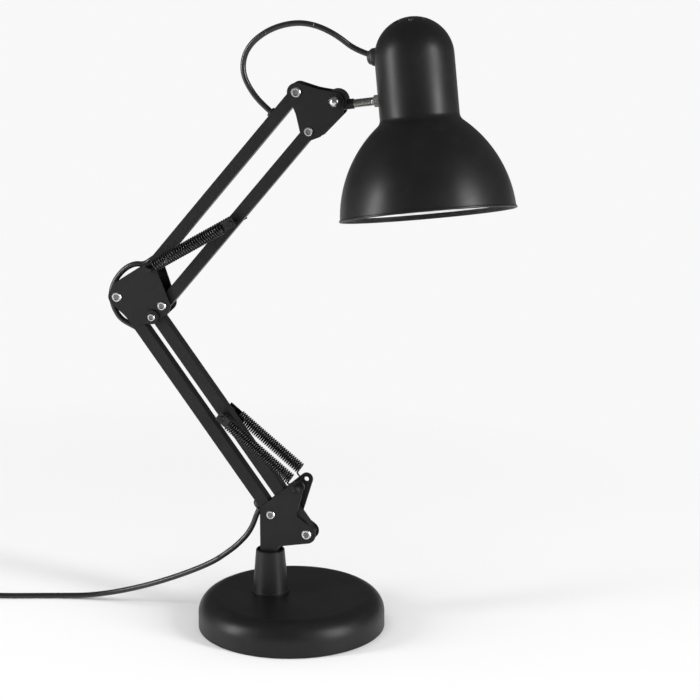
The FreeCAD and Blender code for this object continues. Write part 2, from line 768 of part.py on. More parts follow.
def stud(name, front):
    root = S["stud_disc_dia"] / 2 if front else FD + 0.6
    body = turned(name, [
        (0.0, NG + 0.1), (1.95, NG + 0.1), (1.95, NG + T), (root, NG + T),
        (root, NG + T + 1.0), (root - 0.4, NG + T + 1.4), (FD, NG + T + 1.4),
        (FD, SDp - GW / 2), (GD, SDp - GW / 2), (GD, SDp + GW / 2),
        (FD, SDp + GW / 2), (FD, SDp + GW / 2 + FW - 0.4),
        (FD - 0.4, SDp + GW / 2 + FW), (1.8, SDp + GW / 2 + FW),
        (1.2, SDp + GW / 2 + FW - 0.7), (0.0, SDp + GW / 2 + FW - 0.7)], "Y")
    body.Placement = Placement(
        STUD if front else REAR_STUD,
        Rotation(Vector(1, 0, 0), 180) if front else Rotation())


stud("spring_stud_front", True)
stud("spring_stud_rear", False)


# ------------------------------------------------------------------- tubes
TS = S["tube_side"]
TW = S["tube_wall"]
BOSS = S["elbow_gap"] - 2 * S["side_clear"]


def bar(name, at, rot, length, shift, boss_at, tool=None, extra=()):
    """Square tube with rounded cheeks at both pins; shift moves its centre
    line off the pins.  boss_at is the end with the raised bosses."""
    body = new_body(name)
    r = TS / 2
    sk = new_sketch(body, "XZ_Plane")
    lo, hi = -shift - r, -shift + r
    outline(sk, [
        (length, lo), (length, hi, float(length) + float(r), -float(shift)),
        (0.0, hi), (0.0, lo, -float(r), -float(shift))])
    p = pad(body, sk, TS)
    p.Midplane = True
    if boss_at is not None:
        sb = new_sketch(body, "XZ_Plane")
        ring(sb, boss_at, 0.0, TS / 2)
        pb = pad(body, sb, BOSS)
        pb.Midplane = True
    si = new_sketch(body, "YZ_Plane", length + TS * 2)
    q = TS / 2 - TW
    outline(si, [(q, -q - shift), (q, q - shift), (-q, q - shift),
                 (-q, -q - shift)])
    pocket(body, si)
    sh = new_sketch(body, "XZ_Plane", S["elbow_gap"] + 30.0)
    ring(sh, 0.0, 0.0, HOLE)
    ring(sh, length, 0.0, HOLE)
    for x, z, rad in extra:
        ring(sh, x, z, rad)
    pocket(body, sh)
    body.Placement = Placement(at, rot)
    if tool is None:
        return node(body, name)
    return node(cut(body, tool, name + "_cut"), name)


CR = val("cable_dia") / 2
FAT = CR + val("cable_clear")
LL, UL = val("lower_len"), val("upper_len")


def half_way(p, q):
    """Where two lengths of cable meet, on the straight run from p to q."""
    return tuple((a + b) / 2 for a, b in zip(p, q))


# cable inside the lower arm: elbow exit, along bar A, foot exit, first hang
exit_a = [on_a(LL - 31.0, 8.6), on_a(LL - 46.0, 0.0)]
out_a = on_a(LL - 20.0, 14.4)
join_a = half_way(out_a, exit_a[0])
inside_a = [on_a(LL * 0.62, 0.35), on_a(LL * 0.42, -0.35), on_a(LL * 0.22, 0.3),
            on_a(28.0, 0.0), on_a(15.0, 0.0), on_a(9.6, 12.4)]
hang = [(SX - 20.2, 0.6, 96.6), (SX - 33.6, 1.4, 80.6), (SX - 47.6, 2.2, 68.6)]
FLOOR = [(-61.6, 3.6, 58.2), (-80.0, 5.2, 48.0), (-102.0, 7.4, 37.4),
         (-126.0, 10.0, 27.0), (-151.0, 12.8, 17.6), (-177.0, 14.6, 9.6),
         (-203.0, 14.4, 4.2), (-229.0, 10.6, 2.95), (-256.0, 3.8, 2.8),
         (-284.0, -4.0, 2.8), (-313.0, -9.4, 2.8), (-342.0, -10.4, 2.8),
         (-370.0, -6.0, 2.8)]
floor_run = [(SX + u, d, max(z, CR)) for u, d, z in FLOOR]
join_foot = half_way(hang[-1], floor_run[0])
lower_pts = [join_a] + exit_a + inside_a + hang + [join_foot]
fat_a = cable("fat_a", [join_a] + exit_a + [on_a(LL - 62.0, 0.0)], FAT, False)
fat_a2 = cable("fat_a2", [on_a(28.0, 0.0), on_a(15.0, 0.0), on_a(9.6, 12.4)],
               FAT, False)
bar("lower_bar_a", L1, ROT_A, S["lower_len"], 0.0, S["lower_len"],
    fuse([fat_a, fat_a2]))
bar("lower_bar_b", L2, ROT_A, S["lower_len"], S["rear_bar_shift"],
    S["lower_len"], None,
    [(S["lower_tab_at"], -S["rear_bar_shift"],
      S["spring_pin_dia"] / 2 + 0.05)])
cable("cable_lower", lower_pts)

# rubber grommet where the cable leaves the foot of bar A
gr = turned("foot_grommet_turn", [
    (0.0, TS / 2 + 0.02), (5.4, TS / 2 + 0.02), (5.4, TS / 2 + 2.0),
    (3.0, TS / 2 + 4.6, 4.7, float(TS) / 2 + 3.9), (0.0, TS / 2 + 4.6)],
    "Z", Placement(Vector(*on_a(15.2, 0.0)), ROT_A), False)
fat_g = cable("fat_g", [on_a(28.0, 0.0), on_a(15.0, 0.0), on_a(9.6, 12.4)],
              CR + 0.03, False)
node(cut(gr, fat_g, "foot_grommet_cut"), "foot_grommet")


def cross_pin(name, at):
    """Pin through a bar that carries a spring tab at each end."""
    pr = S["spring_pin_dia"] / 2
    tt = S["tab_thick"] / 2
    half = [(pr, TS / 2 + 0.1), (FD, TS / 2 + 0.1), (FD, SDp - tt - 0.1),
            (pr, SDp - tt - 0.1), (pr, SDp + tt + 0.1),
            (FD, SDp + tt + 0.1), (FD, SDp + tt + 0.1 + FW - 0.4),
            (FD - 0.4, SDp + tt + 0.1 + FW), (0.0, SDp + tt + 0.1 + FW)]
    low = [(r, -y) for r, y in reversed(half)]
    turned(name, low + half, "Y", Placement(at, Rotation()))


cross_pin("lower_spring_pin", SB)


def tab(name, at, tilt, front):
    """Flat tab on the cross pin with the plug that holds the coil."""
    tt = S["tab_thick"]
    rp = S["coil_dia"] / 2 - S["wire_dia"] - S["plug_clear"]
    flat = fuse([
        block(S["tab_len"] + S["tab_past"] + 0.5, tt, S["tab_wide"],
              (-S["tab_past"], -tt / 2, -S["tab_wide"] / 2)),
        cylinder(rp, S["plug_len"], (S["tab_len"], 0, 0), "X")])
    t = cut(flat, cylinder(S["spring_pin_dia"] / 2 + 0.05, tt * 3,
                           (0, -tt * 1.5, 0), "Y"), name + "_cut")
    y = -val("spring_depth") if front else val("spring_depth")
    node(t, name, Placement(Vector(at.x, y, at.z),
                            Rotation(Vector(0, 1, 0), -math.degrees(tilt) - 180)))


def spring_pair(prefix, hooks, far, offs, groove):
    for side, y, hook, off in (("front", -val("spring_depth"), hooks[0], offs[0]),
                               ("rear", val("spring_depth"), hooks[1], offs[1])):
        dh = Vector(0, y, 0)
        obj, tilt = spring("%s_spring_%s" % (prefix, side), hook + dh, far + dh,
                           off, off == 0, groove, val(prefix + "_turns"))
        tab("%s_tab_%s" % (prefix, side), far, tilt, side == "front")


spring_pair("lower", (STUD, REAR_STUD), SB,
            (val("lower_hook_off"), val("rear_hook_off")), val("groove_dia"))

# ------------------------------------------------------------------- elbow
LE = val("lobe_elbow")


def elbow_plate(name, front):
    circles = [(P4.x, P4.z, 6.0),
               (P1.x + 0.1, P1.z + 12.1, 3.0),
               (P1.x, P1.z, LE),
               (P1.x + 2.2, P1.z - 21.4, -6.0),
               (P3.x - 20.0, P3.z - 5.6, 3.0),
               (P3.x, P3.z, LE - 1.4),
               (P2.x, P2.z, LE)]
    if not front:
        circles.append((P4.x + 5.0, P4.z - 5.0, 5.5))
    holes = [(P1.x, P1.z, HOLE), (P2.x, P2.z, HOLE),
             (P3.x, P3.z, HOLE), (P4.x, P4.z, HOLE)]
    return plate(name, circles, holes, EG, T, front)


elbow_plate("elbow_plate_front", True)
elbow_plate("elbow_plate_rear", False)
rivet("elbow_rivet_a", P1, EG + T, WIDE)
rivet("elbow_rivet_d", P2, EG + T, SMALL)
rivet("elbow_rivet_b", P3, EG + T, S["rivet_boss_dia"] / 2, S["boss_high"])
node(cut(cylinder(S["boss_dia"] / 2, S["boss_high"], (0, -(EG + T + S["boss_high"]), 0)),
         cylinder(HOLE, S["boss_high"] * 3, (0, -(EG + T + S["boss_high"] * 2), 0)),
         "elbow_boss_cut"), "elbow_boss", Placement(P3, Rotation()))
g5 = GD + 0.3
f5 = FD + 0.4
half4 = [(PR, EG + T), (f5, EG + T), (f5, SDp - GW / 2), (g5, SDp - GW / 2),
         (g5, SDp + GW / 2), (f5, SDp + GW / 2), (f5, SDp + GW / 2 + FW - 0.4),
         (f5 - 0.4, SDp + GW / 2 + FW), (0.0, SDp + GW / 2 + FW)]
turned("elbow_bolt_c", [(r, -y) for r, y in reversed(half4)] + half4, "Y",
       Placement(P4, Rotation()))

# cable round the elbow, in two lengths that meet beside the elbow's lobe
low_e = (P1.x - 9.1, 0.0, P1.z - 4.5)
high_e = (P1.x - 9.1, 0.0, P1.z + 4.5)
join_e = half_way(low_e, high_e)
enter_c = [on_c(-4.5, 7.3), on_c(6.0, 4.7), on_c(22.0, 0.0)]
join_c = half_way(enter_c[0], enter_c[1])
cable("cable_elbow_low", [join_a, out_a, on_a(LL - 8.5, 13.8), low_e, join_e])
cable("cable_elbow_high", [
    join_e, high_e, (P1.x - 4.2, 0.0, P1.z + 16.0),
    (P1.x + 5.6, 0.0, P1.z + 27.4), (P1.x + 16.8, 0.0, P1.z + 33.0),
    enter_c[0], join_c])

# --------------------------------------------------------------- upper arm
up_exit = UL - val("cable_exit")
inside_c = [on_c(60.0, 0.3), on_c(110.0, -0.3), on_c(160.0, 0.3),
            on_c(up_exit - 13.6, 0.0), on_c(up_exit, 0.0), on_c(up_exit, 13.4)]
# loop from the upper arm to the shade, from the arm's upper pin
LOOP = [(-41.4, 0.0, -8.3), (-49.4, 0.0, 2.9), (-54.2, 0.0, 13.6),
        (-54.8, 0.0, 24.7), (-52.0, 0.0, 35.1), (-45.6, 0.0, 44.5),
        (-36.8, 0.0, 52.1), (-26.4, 0.0, 58.3), (-13.8, 0.0, 62.9),
        (-0.8, 0.0, 65.1), (10.2, 0.0, 64.6), (20.8, 0.2, 62.1),
        (30.6, 1.6, 57.8), (40.2, 4.6, 51.6)]
loop = [(U1.x + u, d, U1.z + w_) for u, d, w_ in LOOP]
join_u, join_k = half_way(loop[6], loop[7]), half_way(loop[10], loop[11])
fat_c = cable("fat_c", [join_c] + enter_c[1:] + [on_c(36.0, 0.0)], FAT, False)
fat_c0 = cable("fat_c0", [enter_c[0], enter_c[1]], FAT, False)
fat_c2 = cable("fat_c2", [on_c(up_exit - 13.6, 0.0), on_c(up_exit, 0.0),
                          on_c(up_exit, 13.4)], FAT, False)
bar("upper_bar_c", P4, ROT_C, S["upper_len"], 0.0, 0.0,
    fuse([fat_c, fat_c0, fat_c2]))
bar("upper_bar_d", P2, ROT_C, S["upper_len"], 0.0, 0.0, None,
    [(S["upper_tab_at"], 0.0, S["spring_pin_dia"] / 2 + 0.05)])
cable("cable_upper", [join_c] + enter_c[1:] + inside_c + loop[:7] + [join_u])
cable("cable_loop_mid", [join_u] + loop[7:11] + [join_k])
inlet = val("inlet_at")
cap_r = val("cap_dia") / 2
lean = math.radians(val("inlet_lean"))


def on_inlet(far):
    """Point on the cable's straight run through the rubber inlet."""
    return (-cap_r - 5.0 - far * math.cos(lean),
            inlet + 2.5 + far * math.sin(lean))


inlet_run = [on_inlet(17.0), on_inlet(-7.0), (-27.0, inlet + 7.5)]
tail = [in_shade(*p) for p in inlet_run + [
    (-16.0, inlet + 16.0), (-6.0, inlet + 19.0), (0.0, inlet + 12.0),
    (0.0, val("strap_at") + 1.4)]]
cable("cable_loop_end", [join_k] + loop[11:] + tail)
gu = turned("arm_grommet_turn", [
    (0.0, TS / 2 + 0.02), (5.0, TS / 2 + 0.02), (5.0, TS / 2 + 1.5),
    (4.2, TS / 2 + 2.3), (0.0, TS / 2 + 2.3)],
    "Z", Placement(Vector(*on_c(up_exit, 0.0)), ROT_C), False)
fat_u = cable("fat_u", [on_c(up_exit - 13.6, 0.0), on_c(up_exit, 0.0),
                        on_c(up_exit, 13.4)], CR + 0.03, False)
node(cut(gu, fat_u, "arm_grommet_cut"), "arm_grommet")
cross_pin("upper_spring_pin", SD)
spring_pair("upper", (P4, P4), SD, (0.0, 0.0), val("groove_dia") + 0.6)

# ------------------------------------------------------------ head bracket
LH = val("lobe_head")


def head_plate(name, front):
    mid = (U1 + U2) * 0.5
    o1 = Vector(G2.z, 0, -G2.x).normalize()
    c1 = mid + o1 * 37.0
    mid2 = (U1 + U3) * 0.5
    d2 = (U3 - U1).normalize()
    c2 = mid2 + Vector(-d2.z, 0, d2.x) * 67.6
    circles = [(U3.x, U3.z, LH - 0.1), (c2.x, c2.z, -60.0),
               (U1.x, U1.z, LH), (c1.x, c1.z, -30.0),
               (U2.x, U2.z, LH - 0.4),
               (U2.x + 9.4, U2.z - 1.2, 4.0),
               (U3.x + 4.6, U3.z - 9.8, 3.4)]
    holes = [(U1.x, U1.z, HOLE), (U2.x, U2.z, HOLE), (U3.x, U3.z, HOLE)]
    return plate(name, circles, holes, NG, T, front)


head_plate("head_plate_front", True)
head_plate("head_plate_rear", False)
rivet("head_rivet_c", U1, NG + T, WIDE)
rivet("head_rivet_d", U2, NG + T, SMALL)
WH = S["washer_high"]
node(cut(cylinder(S["washer_dia"] / 2, WH, (0, -(NG + T + WH), 0)),
         cylinder(HOLE, WH * 3, (0, -(NG + T + WH * 2), 0)), "tilt_washer_cut"),
     "tilt_washer", Placement(U3, Rotation()))
# tilt bolt: head at the rear, thread end inside the dome nut
bolt_end = NG + T + WH + 2.6
turned("tilt_bolt", [
    (0.0, -bolt_end), (PR, -bolt_end), (PR, NG + T), (6.0, NG + T),
    (6.0, NG + T + 3.4), (5.4, NG + T + 4.0), (0.0, NG + T + 4.0)], "Y",
    Placement(U3, Rotation()))
DN = S["dome_dia"] / 2
y0 = NG + T + WH
dome_high = float(DN) * 0.72
dome_rad = (float(DN) ** 2 + dome_high ** 2) / (2 * dome_high)
dome_half = math.asin(float(DN) / dome_rad) / 2
turned("dome_nut", [
    (PR + 0.03, -y0), (DN, -y0), (DN, -(y0 + 2.0)),
    (0.0, -(y0 + 2.0 + DN * 0.72), dome_rad * math.sin(dome_half),
     -(y0.v + 2.0 + dome_high - dome_rad * (1 - math.cos(dome_half)))),
    (0.0, -(bolt_end + 0.05)), (PR + 0.03, -(bolt_end + 0.05))], "Y",
    Placement(U3, Rotation()))

# ----------------------------------------------------------------- knuckle
KD = S["knuckle_dia"] / 2
SRr = S["stem_dia"] / 2
knuck = fuse([
    cylinder(KD, S["narrow_gap"] - 0.6, (0, -(NG - 0.3), 0), "Y"),
    cylinder(S["neck_dia"] / 2, S["neck_reach"] - 4.0, (4.0, 0, -S["stem_drop"]), "X")])
knuck = cut(knuck, fuse([
    cylinder(HOLE, S["narrow_gap"] * 2, (0, -S["narrow_gap"], 0), "Y"),
    cylinder(SRr + S["pin_clear"], S["neck_reach"] * 2,
             (S["stem_seat"] - 0.3, 0, -S["stem_drop"]), "X")]), "knuckle_cut")
node(knuck, "tilt_knuckle", PLACE_K)

# -------------------------------------------------------------------- stem
CAP = S["cap_dia"] / 2
SW = S["shade_wall"]
stem_in = CAP - 9.5
st = cut(cylinder(SRr, S["stem_reach"] - S["stem_seat"] - stem_in,
                  (-(S["stem_reach"] - S["stem_seat"]), 0, 0), "X"),
         cylinder(S["stem_bore"] / 2, S["stem_reach"] * 2,
                  (-S["stem_reach"] * 1.5, 0, 0), "X"), "stem_cut")
node(st, "shade_stem", PLACE_S)
hexa = doc.addObject("Part::Prism", "Hexagon")
hexa.Polygon = 6
bind(hexa, "Circumradius", S["nut_flats"] / 2 / math.cos(math.pi / 6))
bind(hexa, "Height", S["nut_wide"])
hexa.Placement = Placement(Vector(-float(CAP + S["nut_wide"] + 0.05), 0, 0),
                           Rotation(Vector(0, 1, 0), 90))
hexa.setExpression("Placement.Base.x", (-(CAP + S["nut_wide"] + 0.05)).t)
node(cut(hexa, cylinder(SRr + 0.02, S["nut_wide"] * 4,
                        (-(CAP + S["nut_wide"] * 2), 0, 0), "X"),
         "stem_nut_cut"), "stem_nut", PLACE_S)

# ------------------------------------------------------------------- shade
RIM = S["rim_dia"] / 2
RB = S["rim_below"]
BH, BM, BR = S["bell_high"], S["bell_mid_at"], S["bell_mid_rad"]
CS = S["cap_straight"]
bead, bo = S["bead_high"], S["bead_out"]


def arc_mid(a, b, m):
    """Middle of the circle arc from a to b through m."""
    ax_, ay, bx, by, mx, my = [float(v) for v in (*a, *b, *m)]
    arc = Part.Arc(Vector(ax_, ay, 0), Vector(mx, my, 0), Vector(bx, by, 0))
    return arc.toShape()


bell_arc = arc_mid((RIM - bo, bead - RB), (CAP, BH - RB), (BR, BM - RB))
bc, brad = bell_arc.Curve.Center, bell_arc.Curve.Radius


def on_bell(z, inset):
    return bc.x + math.sqrt((brad - inset) ** 2 - (z - bc.y) ** 2)


def neck(inset):
    """Hollow rounding that meets bell and cap: (bell end, middle, cap end)."""
    r = val("neck_round") + inset
    nx = float(CAP) + val("neck_round")
    nz = bc.y + math.sqrt((brad + val("neck_round")) ** 2 - (nx - bc.x) ** 2)
    a = math.atan2(bc.y - nz, bc.x - nx) % (2 * math.pi)
    mid_a = (a + math.pi) / 2
    return ((nx + r * math.cos(a), nz + r * math.sin(a)),
            (nx + r * math.cos(mid_a), nz + r * math.sin(mid_a)), (nx - r, nz))


w = float(SW)
z_lo = zi_lo = float(bead - RB)
ri_lo = on_bell(zi_lo, w)
no, ni = neck(0.0), neck(w)
z_mid = (z_lo + no[0][1]) / 2
zm = (zi_lo + ni[0][1]) / 2
dome_c = CS - RB
shade_pts = [
    (RIM, -RB), (RIM, bead - RB - 0.5), (RIM - bo, bead - RB),
    (no[0][0], no[0][1], on_bell(z_mid, 0.0), z_mid),
    (CAP, no[2][1], no[1][0], no[1][1]), (CAP, dome_c),
    (0.0, dome_c + CAP, float(CAP) * c45, float(dome_c) + float(CAP) * c45),
    (0.0, dome_c + CAP - SW),
    (CAP - SW, dome_c, (float(CAP) - w) * c45, float(dome_c) + (float(CAP) - w) * c45),
    (CAP - SW, ni[2][1]), (ni[0][0], ni[0][1], ni[1][0], ni[1][1]),
    (ri_lo, zi_lo, on_bell(zm, w), zm),
    (ri_lo - 0.1, -RB)]
shade = turned("shade_shell", shade_pts, "Z", None, True)
vs = new_sketch(shade, "XY_Plane", dome_c + CAP + 5.0)
vang = math.radians(-79.0)
vr = val("vent_ring") / 2
ring(vs, vr * math.cos(vang), vr * math.sin(vang), S["vent_dia"] / 2)
vp = shade.newObject("PartDesign::Pocket", "vent")
vp.Profile = vs
vp.Length = float(CAP) * 0.75
pp = shade.newObject("PartDesign::PolarPattern", "vents")
pp.Originals = [vp]
pp.Axis = (vs, ["N_Axis"])
pp.Angle = 360.0
bind(pp, "Occurrences", S["vent_count"])
shade.Tip = pp
sw_ = new_sketch(shade, "YZ_Plane", -20.0)
ring(sw_, 0.0, 0.0, SRr + 0.15)
ring(sw_, 0.0, S["inlet_at"], S["cable_dia"] / 2 + 3.6)
wp = shade.newObject("PartDesign::Pocket", "wall_holes")
wp.Profile = sw_
wp.Type = "ThroughAll"
wp.Reversed = False
shade.Tip = wp
shade.Placement = PLACE_S

# rubber inlet on the cap, seated on its round wall and dome
dome = doc.addObject("Part::Sphere", "Dome")
bind(dome, "Radius", CAP + 0.02)
dome.Placement = Placement(Vector(0, 0, float(dome_c)), Rotation())
dome.setExpression("Placement.Base.z", dome_c.t)
IR, reach = S["inlet_dia"] / 2, S["inlet_reach"]
gi = turned("inlet_turn", [
    (0.0, -4.0), (IR, -4.0), (IR, 1.6),
    (IR - 1.6, float(reach) - 2.8, float(IR) - 0.35, float(reach) - 4.4),
    (float(IR) - 3.7, reach, float(IR) - 2.5, float(reach) - 0.9),
    (0.0, reach)], "Z",
    Placement(Vector(-float(CAP), 0, inlet), Rotation(Vector(0, 1, 0), -90)),
    False)
gi = cut(gi, fuse([dome, cylinder(CAP + 0.02, RB * 2, (0, 0, dome_c - RB * 2),
                                  "Z")]), "inlet_seat")
gi = fuse([gi, cylinder(S["cable_dia"] / 2 + 3.45, SW + 1.6,
                        (-(CAP + 0.8), 0, S["inlet_at"]), "X")])
bore_run = [half_way(inlet_run[0], inlet_run[1])] + inlet_run[1:]
tool_i = cable("fat_i", [(u, 0.0, v) for u, v in bore_run], CR + 0.08, False)
node(cut(gi, tool_i, "shade_inlet_cut"), "shade_inlet", PLACE_S)

# ---------------------------------------------------- lampholder and bulb
SWl, SWd, SAt = S["strap_wall"], S["strap_wide"], S["strap_at"]
leg_x = -(CAP - SW) + 1.2
strap = fuse([
    block(SWl, SWd, SAt + SWl + 9.0, (leg_x, -SWd / 2, -9.0)),
    block(-leg_x + 9.0, SWd, SWl, (leg_x, -SWd / 2, SAt))])
strap = cut(strap, fuse([
    cylinder(SRr + 0.03, 12.0, (leg_x - 4.0, 0, 0), "X"),
    cylinder(S["nipple_dia"] / 2 + 0.1, 20.0, (0, 0, SAt - 8.0), "Z")]),
    "holder_strap_cut")
node(strap, "holder_strap", PLACE_S)
HM, HH = S["holder_mouth"], S["holder_high"]
HD = S["holder_dia"] / 2
NR = S["nipple_dia"] / 2
SC = S["screw_dia"] / 2
cavity = S["bulb_top"] + 1.0
turned("lampholder", [
    (SC + 0.6, HM), (HD - 0.8, HM), (HD, HM + 0.8), (HD, HM + HH - 4.0),
    (HD - 4.0, HM + HH), (NR, SAt - 0.02), (NR, SAt + SWl + 3.2),
    (S["cable_dia"] / 2 + 0.1, SAt + SWl + 3.2),
    (S["cable_dia"] / 2 + 0.1, SAt - 2.5), (0.0, SAt - 2.5),
    (0.0, cavity), (SC + 0.6, cavity)], "Z", PLACE_S)
BT = S["bulb_top"]
BD = S["bulb_dia"] / 2
BB = BT - S["bulb_len"]
GWl = S["glass_wall"]
bz = BB + BD
neck_r, neck_z = SC + 1.2, HM - 6.0
reach = math.hypot(float(neck_r), float(neck_z) - float(bz))
t_ang = (math.atan2(float(neck_z) - float(bz), float(neck_r))
         - math.acos(float(BD) / reach))
tn = Vector(math.cos(t_ang), math.sin(t_ang), 0)


def glass(inset):
    """Bulb line from the neck to the bottom: a cone that meets the globe."""
    r = float(BD) - inset
    a = (t_ang - math.pi / 2) / 2
    return [(float(neck_r) - inset * tn.x, float(neck_z) - inset * tn.y),
            (r * tn.x, float(bz) + r * tn.y),
            (0.0, float(bz) - r, r * math.cos(a), float(bz) + r * math.sin(a))]


g0, g1 = glass(0.0), glass(float(GWl))
turned("bulb", [
    (0.0, BT), (4.0, BT), (SC - 2.0, BT - 4.0), (SC, BT - 5.0), (SC, HM - 2.0),
    g0[0], g0[1], g0[2], (0.0, g1[2][1]),
    (g1[1][0], g1[1][1], g1[2][2], g1[2][3]), g1[0],
    (SC - 1.2, HM - 2.0), (SC - 1.2, BT - 6.0), (0.0, BT - 6.0)], "Z", PLACE_S)

# -------------------------------------------------------- cord on the floor
ZC = CR
cord = [join_foot] + floor_run

# stored length: loops in two layers, in and out again
CRd, CST, CLP = val("coil_radius"), val("coil_step"), val("coil_loops")
last, prev = Vector(*cord[-1]), Vector(*cord[-2])
go = (last - prev)
go.z = 0
go.normalize()
lead = Vector(*cord[-1]) + go * 14.0
lead.z = ZC
leftv = Vector(-go.y, go.x, 0)
centre = lead + leftv * CRd
a0 = math.atan2(-leftv.y, -leftv.x)


def coil_point(k):
    """k counts loops; inwards up to CLP, outwards after it."""
    n = CLP
    half = 0.5
    rise = val("cable_dia") + 0.45
    if k <= n:
        r, z = CRd - CST * k, ZC
    elif k <= n + half:
        f = (k - n) / half
        r, z = CRd - CST * k, ZC + rise * (3 * f * f - 2 * f ** 3)
    else:
        g = min(1.0, (k - n - half) / 0.6)
        r = (CRd - CST * (n + half) + CST * (k - n - half)
             + 0.42 * CST * (3 * g * g - 2 * g ** 3))
        z = ZC + rise
    a = a0 + 2 * math.pi * k
    return Vector(centre.x + r * math.cos(a), centre.y + r * math.sin(a), z)


def coil_tangent(k):
    e = 1e-4
    a, b = coil_point(max(k - e, 0)), coil_point(k + e)
    return (b - a).normalize()


total = 2 * CLP + 0.5 - 0.25
coil_edges = [Part.LineSegment(Vector(*cord[-1]), lead).toShape()]
kk, steps = 0.0, int(round(total / 0.25))
pk, tk = coil_point(0.0), go
coil_edges = []
coil_start_pt = lead
for i in range(steps):
    k1 = (i + 1) * 0.25
    p1, t1 = coil_point(k1), coil_tangent(k1)
    coil_edges += biarc(pk, tk, p1, t1)
    pk, tk = p1, t1
head_edge = Part.LineSegment(Vector(*cord[-1]), coil_start_pt).toShape()
out_end = pk + tk * 8.0
coil_wire = Part.Wire([head_edge] + coil_edges
                      + [Part.LineSegment(pk, out_end).toShape()])
cp = coil_wire.discretize(Distance=2.0)
least = min(cp[i].distanceToPoint(cp[j]) for i in range(len(cp))
            for j in range(i + 8, len(cp)))
print("cord coil length %.1f least gap %.2f" % (coil_wire.Length, least - 2 * CR))
shape_of("cord_coil", pipe(coil_wire, CR))
cable("mains_cord", cord)

# tail from the coil down to the plug, level where it enters it
tv = Vector(tk.x, tk.y, 0).normalize()
rv = Vector(tv.y, -tv.x, 0)
plug_z = 6.85
drop = plug_z - out_end.z
tail_pts = [out_end, out_end + tk * 8.0,
            out_end + tv * 22.0 + rv * 2.0 + Vector(0, 0, drop * 0.5),
            out_end + tv * 36.0 + rv * 6.0 + Vector(0, 0, drop),
            out_end + tv * 48.0 + rv * 11.0 + Vector(0, 0, drop)]
tail_pts = [(p.x, p.y, p.z) for p in tail_pts]
cable("cord_tail", tail_pts)
d_end = Vector(tail_pts[-1][0] - tail_pts[-2][0],
               tail_pts[-1][1] - tail_pts[-2][1], 0).normalize()
yaw = math.degrees(math.atan2(d_end.y, d_end.x))
pd, pl, pg = S["prong_dia"] / 2, S["prong_len"], S["prong_gap"]
relief, body_len = S["relief_len"], 22.0
taper = turned("relief_turn", [
    (0.0, 0.0), (CR + 0.9, 0.0), (CR + 1.3, 0.6), (6.4, relief + 1.0),
    (0.0, relief + 1.0)], "Z", Placement(Vector(), Rotation(Vector(0, 1, 0), 90)),
    False)
plug = fuse([
    taper,
    block(body_len, 34.0, 13.6, (relief, -17.0, -6.8)),
    cylinder(pd, pl + 1.0, (relief + body_len - 1.0, -pg / 2, 0), "X"),
    cylinder(pd, pl + 1.0, (relief + body_len - 1.0, pg / 2, 0), "X")])
node(plug, "mains_plug", Placement(Vector(*tail_pts[-1]),
                                   Rotation(Vector(0, 0, 1), yaw)))

# ------------------------------------------------------------------ export
doc.recompute()
bad = []
for obj in doc.Objects:
    if "Invalid" in obj.State or "Error" in obj.State:
        bad.append("%s %s" % (obj.Name, obj.State))
for name, obj in NODES.items():
    sh = obj.Shape
    if sh.isNull() or not sh.isValid():
        bad.append("shape " + name)
    elif len(sh.Solids) != 1:
        bad.append("%s has %d solids" % (name, len(sh.Solids)))
if bad:
    raise RuntimeError("; ".join(bad))
assert len(NODES) <= 60, len(NODES)
for name, obj in NODES.items():
    obj.Shape.exportStep("parts/%s.step" % name)
print("nodes", len(NODES))
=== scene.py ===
import bpy, bmesh, json, math
from mathutils import Matrix, Vector


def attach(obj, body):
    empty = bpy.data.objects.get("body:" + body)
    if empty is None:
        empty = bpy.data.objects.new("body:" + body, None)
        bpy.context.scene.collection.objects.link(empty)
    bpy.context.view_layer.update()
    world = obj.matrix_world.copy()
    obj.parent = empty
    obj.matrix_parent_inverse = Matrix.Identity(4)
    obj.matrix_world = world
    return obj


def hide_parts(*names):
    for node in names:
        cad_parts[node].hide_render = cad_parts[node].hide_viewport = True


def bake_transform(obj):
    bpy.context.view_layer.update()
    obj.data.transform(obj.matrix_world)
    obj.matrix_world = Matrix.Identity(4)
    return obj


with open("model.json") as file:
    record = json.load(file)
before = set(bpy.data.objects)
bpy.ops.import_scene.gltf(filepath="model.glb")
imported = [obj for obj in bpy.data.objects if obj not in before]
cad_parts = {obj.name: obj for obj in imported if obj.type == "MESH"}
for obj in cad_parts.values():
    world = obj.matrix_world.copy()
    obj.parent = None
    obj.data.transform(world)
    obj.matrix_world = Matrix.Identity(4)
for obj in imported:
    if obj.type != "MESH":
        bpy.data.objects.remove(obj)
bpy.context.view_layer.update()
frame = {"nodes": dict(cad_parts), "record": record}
scene = bpy.context.scene
scene.view_settings.view_transform = "Standard"


# ------------------------------------------------------------ view and cords
LENS_MM, SENSOR_MM = 122.2, 36.0
CAMERA_AT = (0.6239, -2.1699, 0.8854)
CAMERA_TURN = (math.radians(75.155), 0.0, math.radians(14.540))


def set_camera():
    data = bpy.data.cameras.new("Camera")
    data.lens, data.sensor_width = LENS_MM, SENSOR_MM
    data.clip_start, data.clip_end = 0.05, 20.0
    cam = bpy.data.objects.new("Camera", data)
    cam.location, cam.rotation_euler = CAMERA_AT, CAMERA_TURN
    scene.collection.objects.link(cam)
    scene.camera = cam


def mesh_piece(name, mesh):
    piece = bpy.data.objects.new(name, mesh)
    scene.collection.objects.link(piece)
    return piece


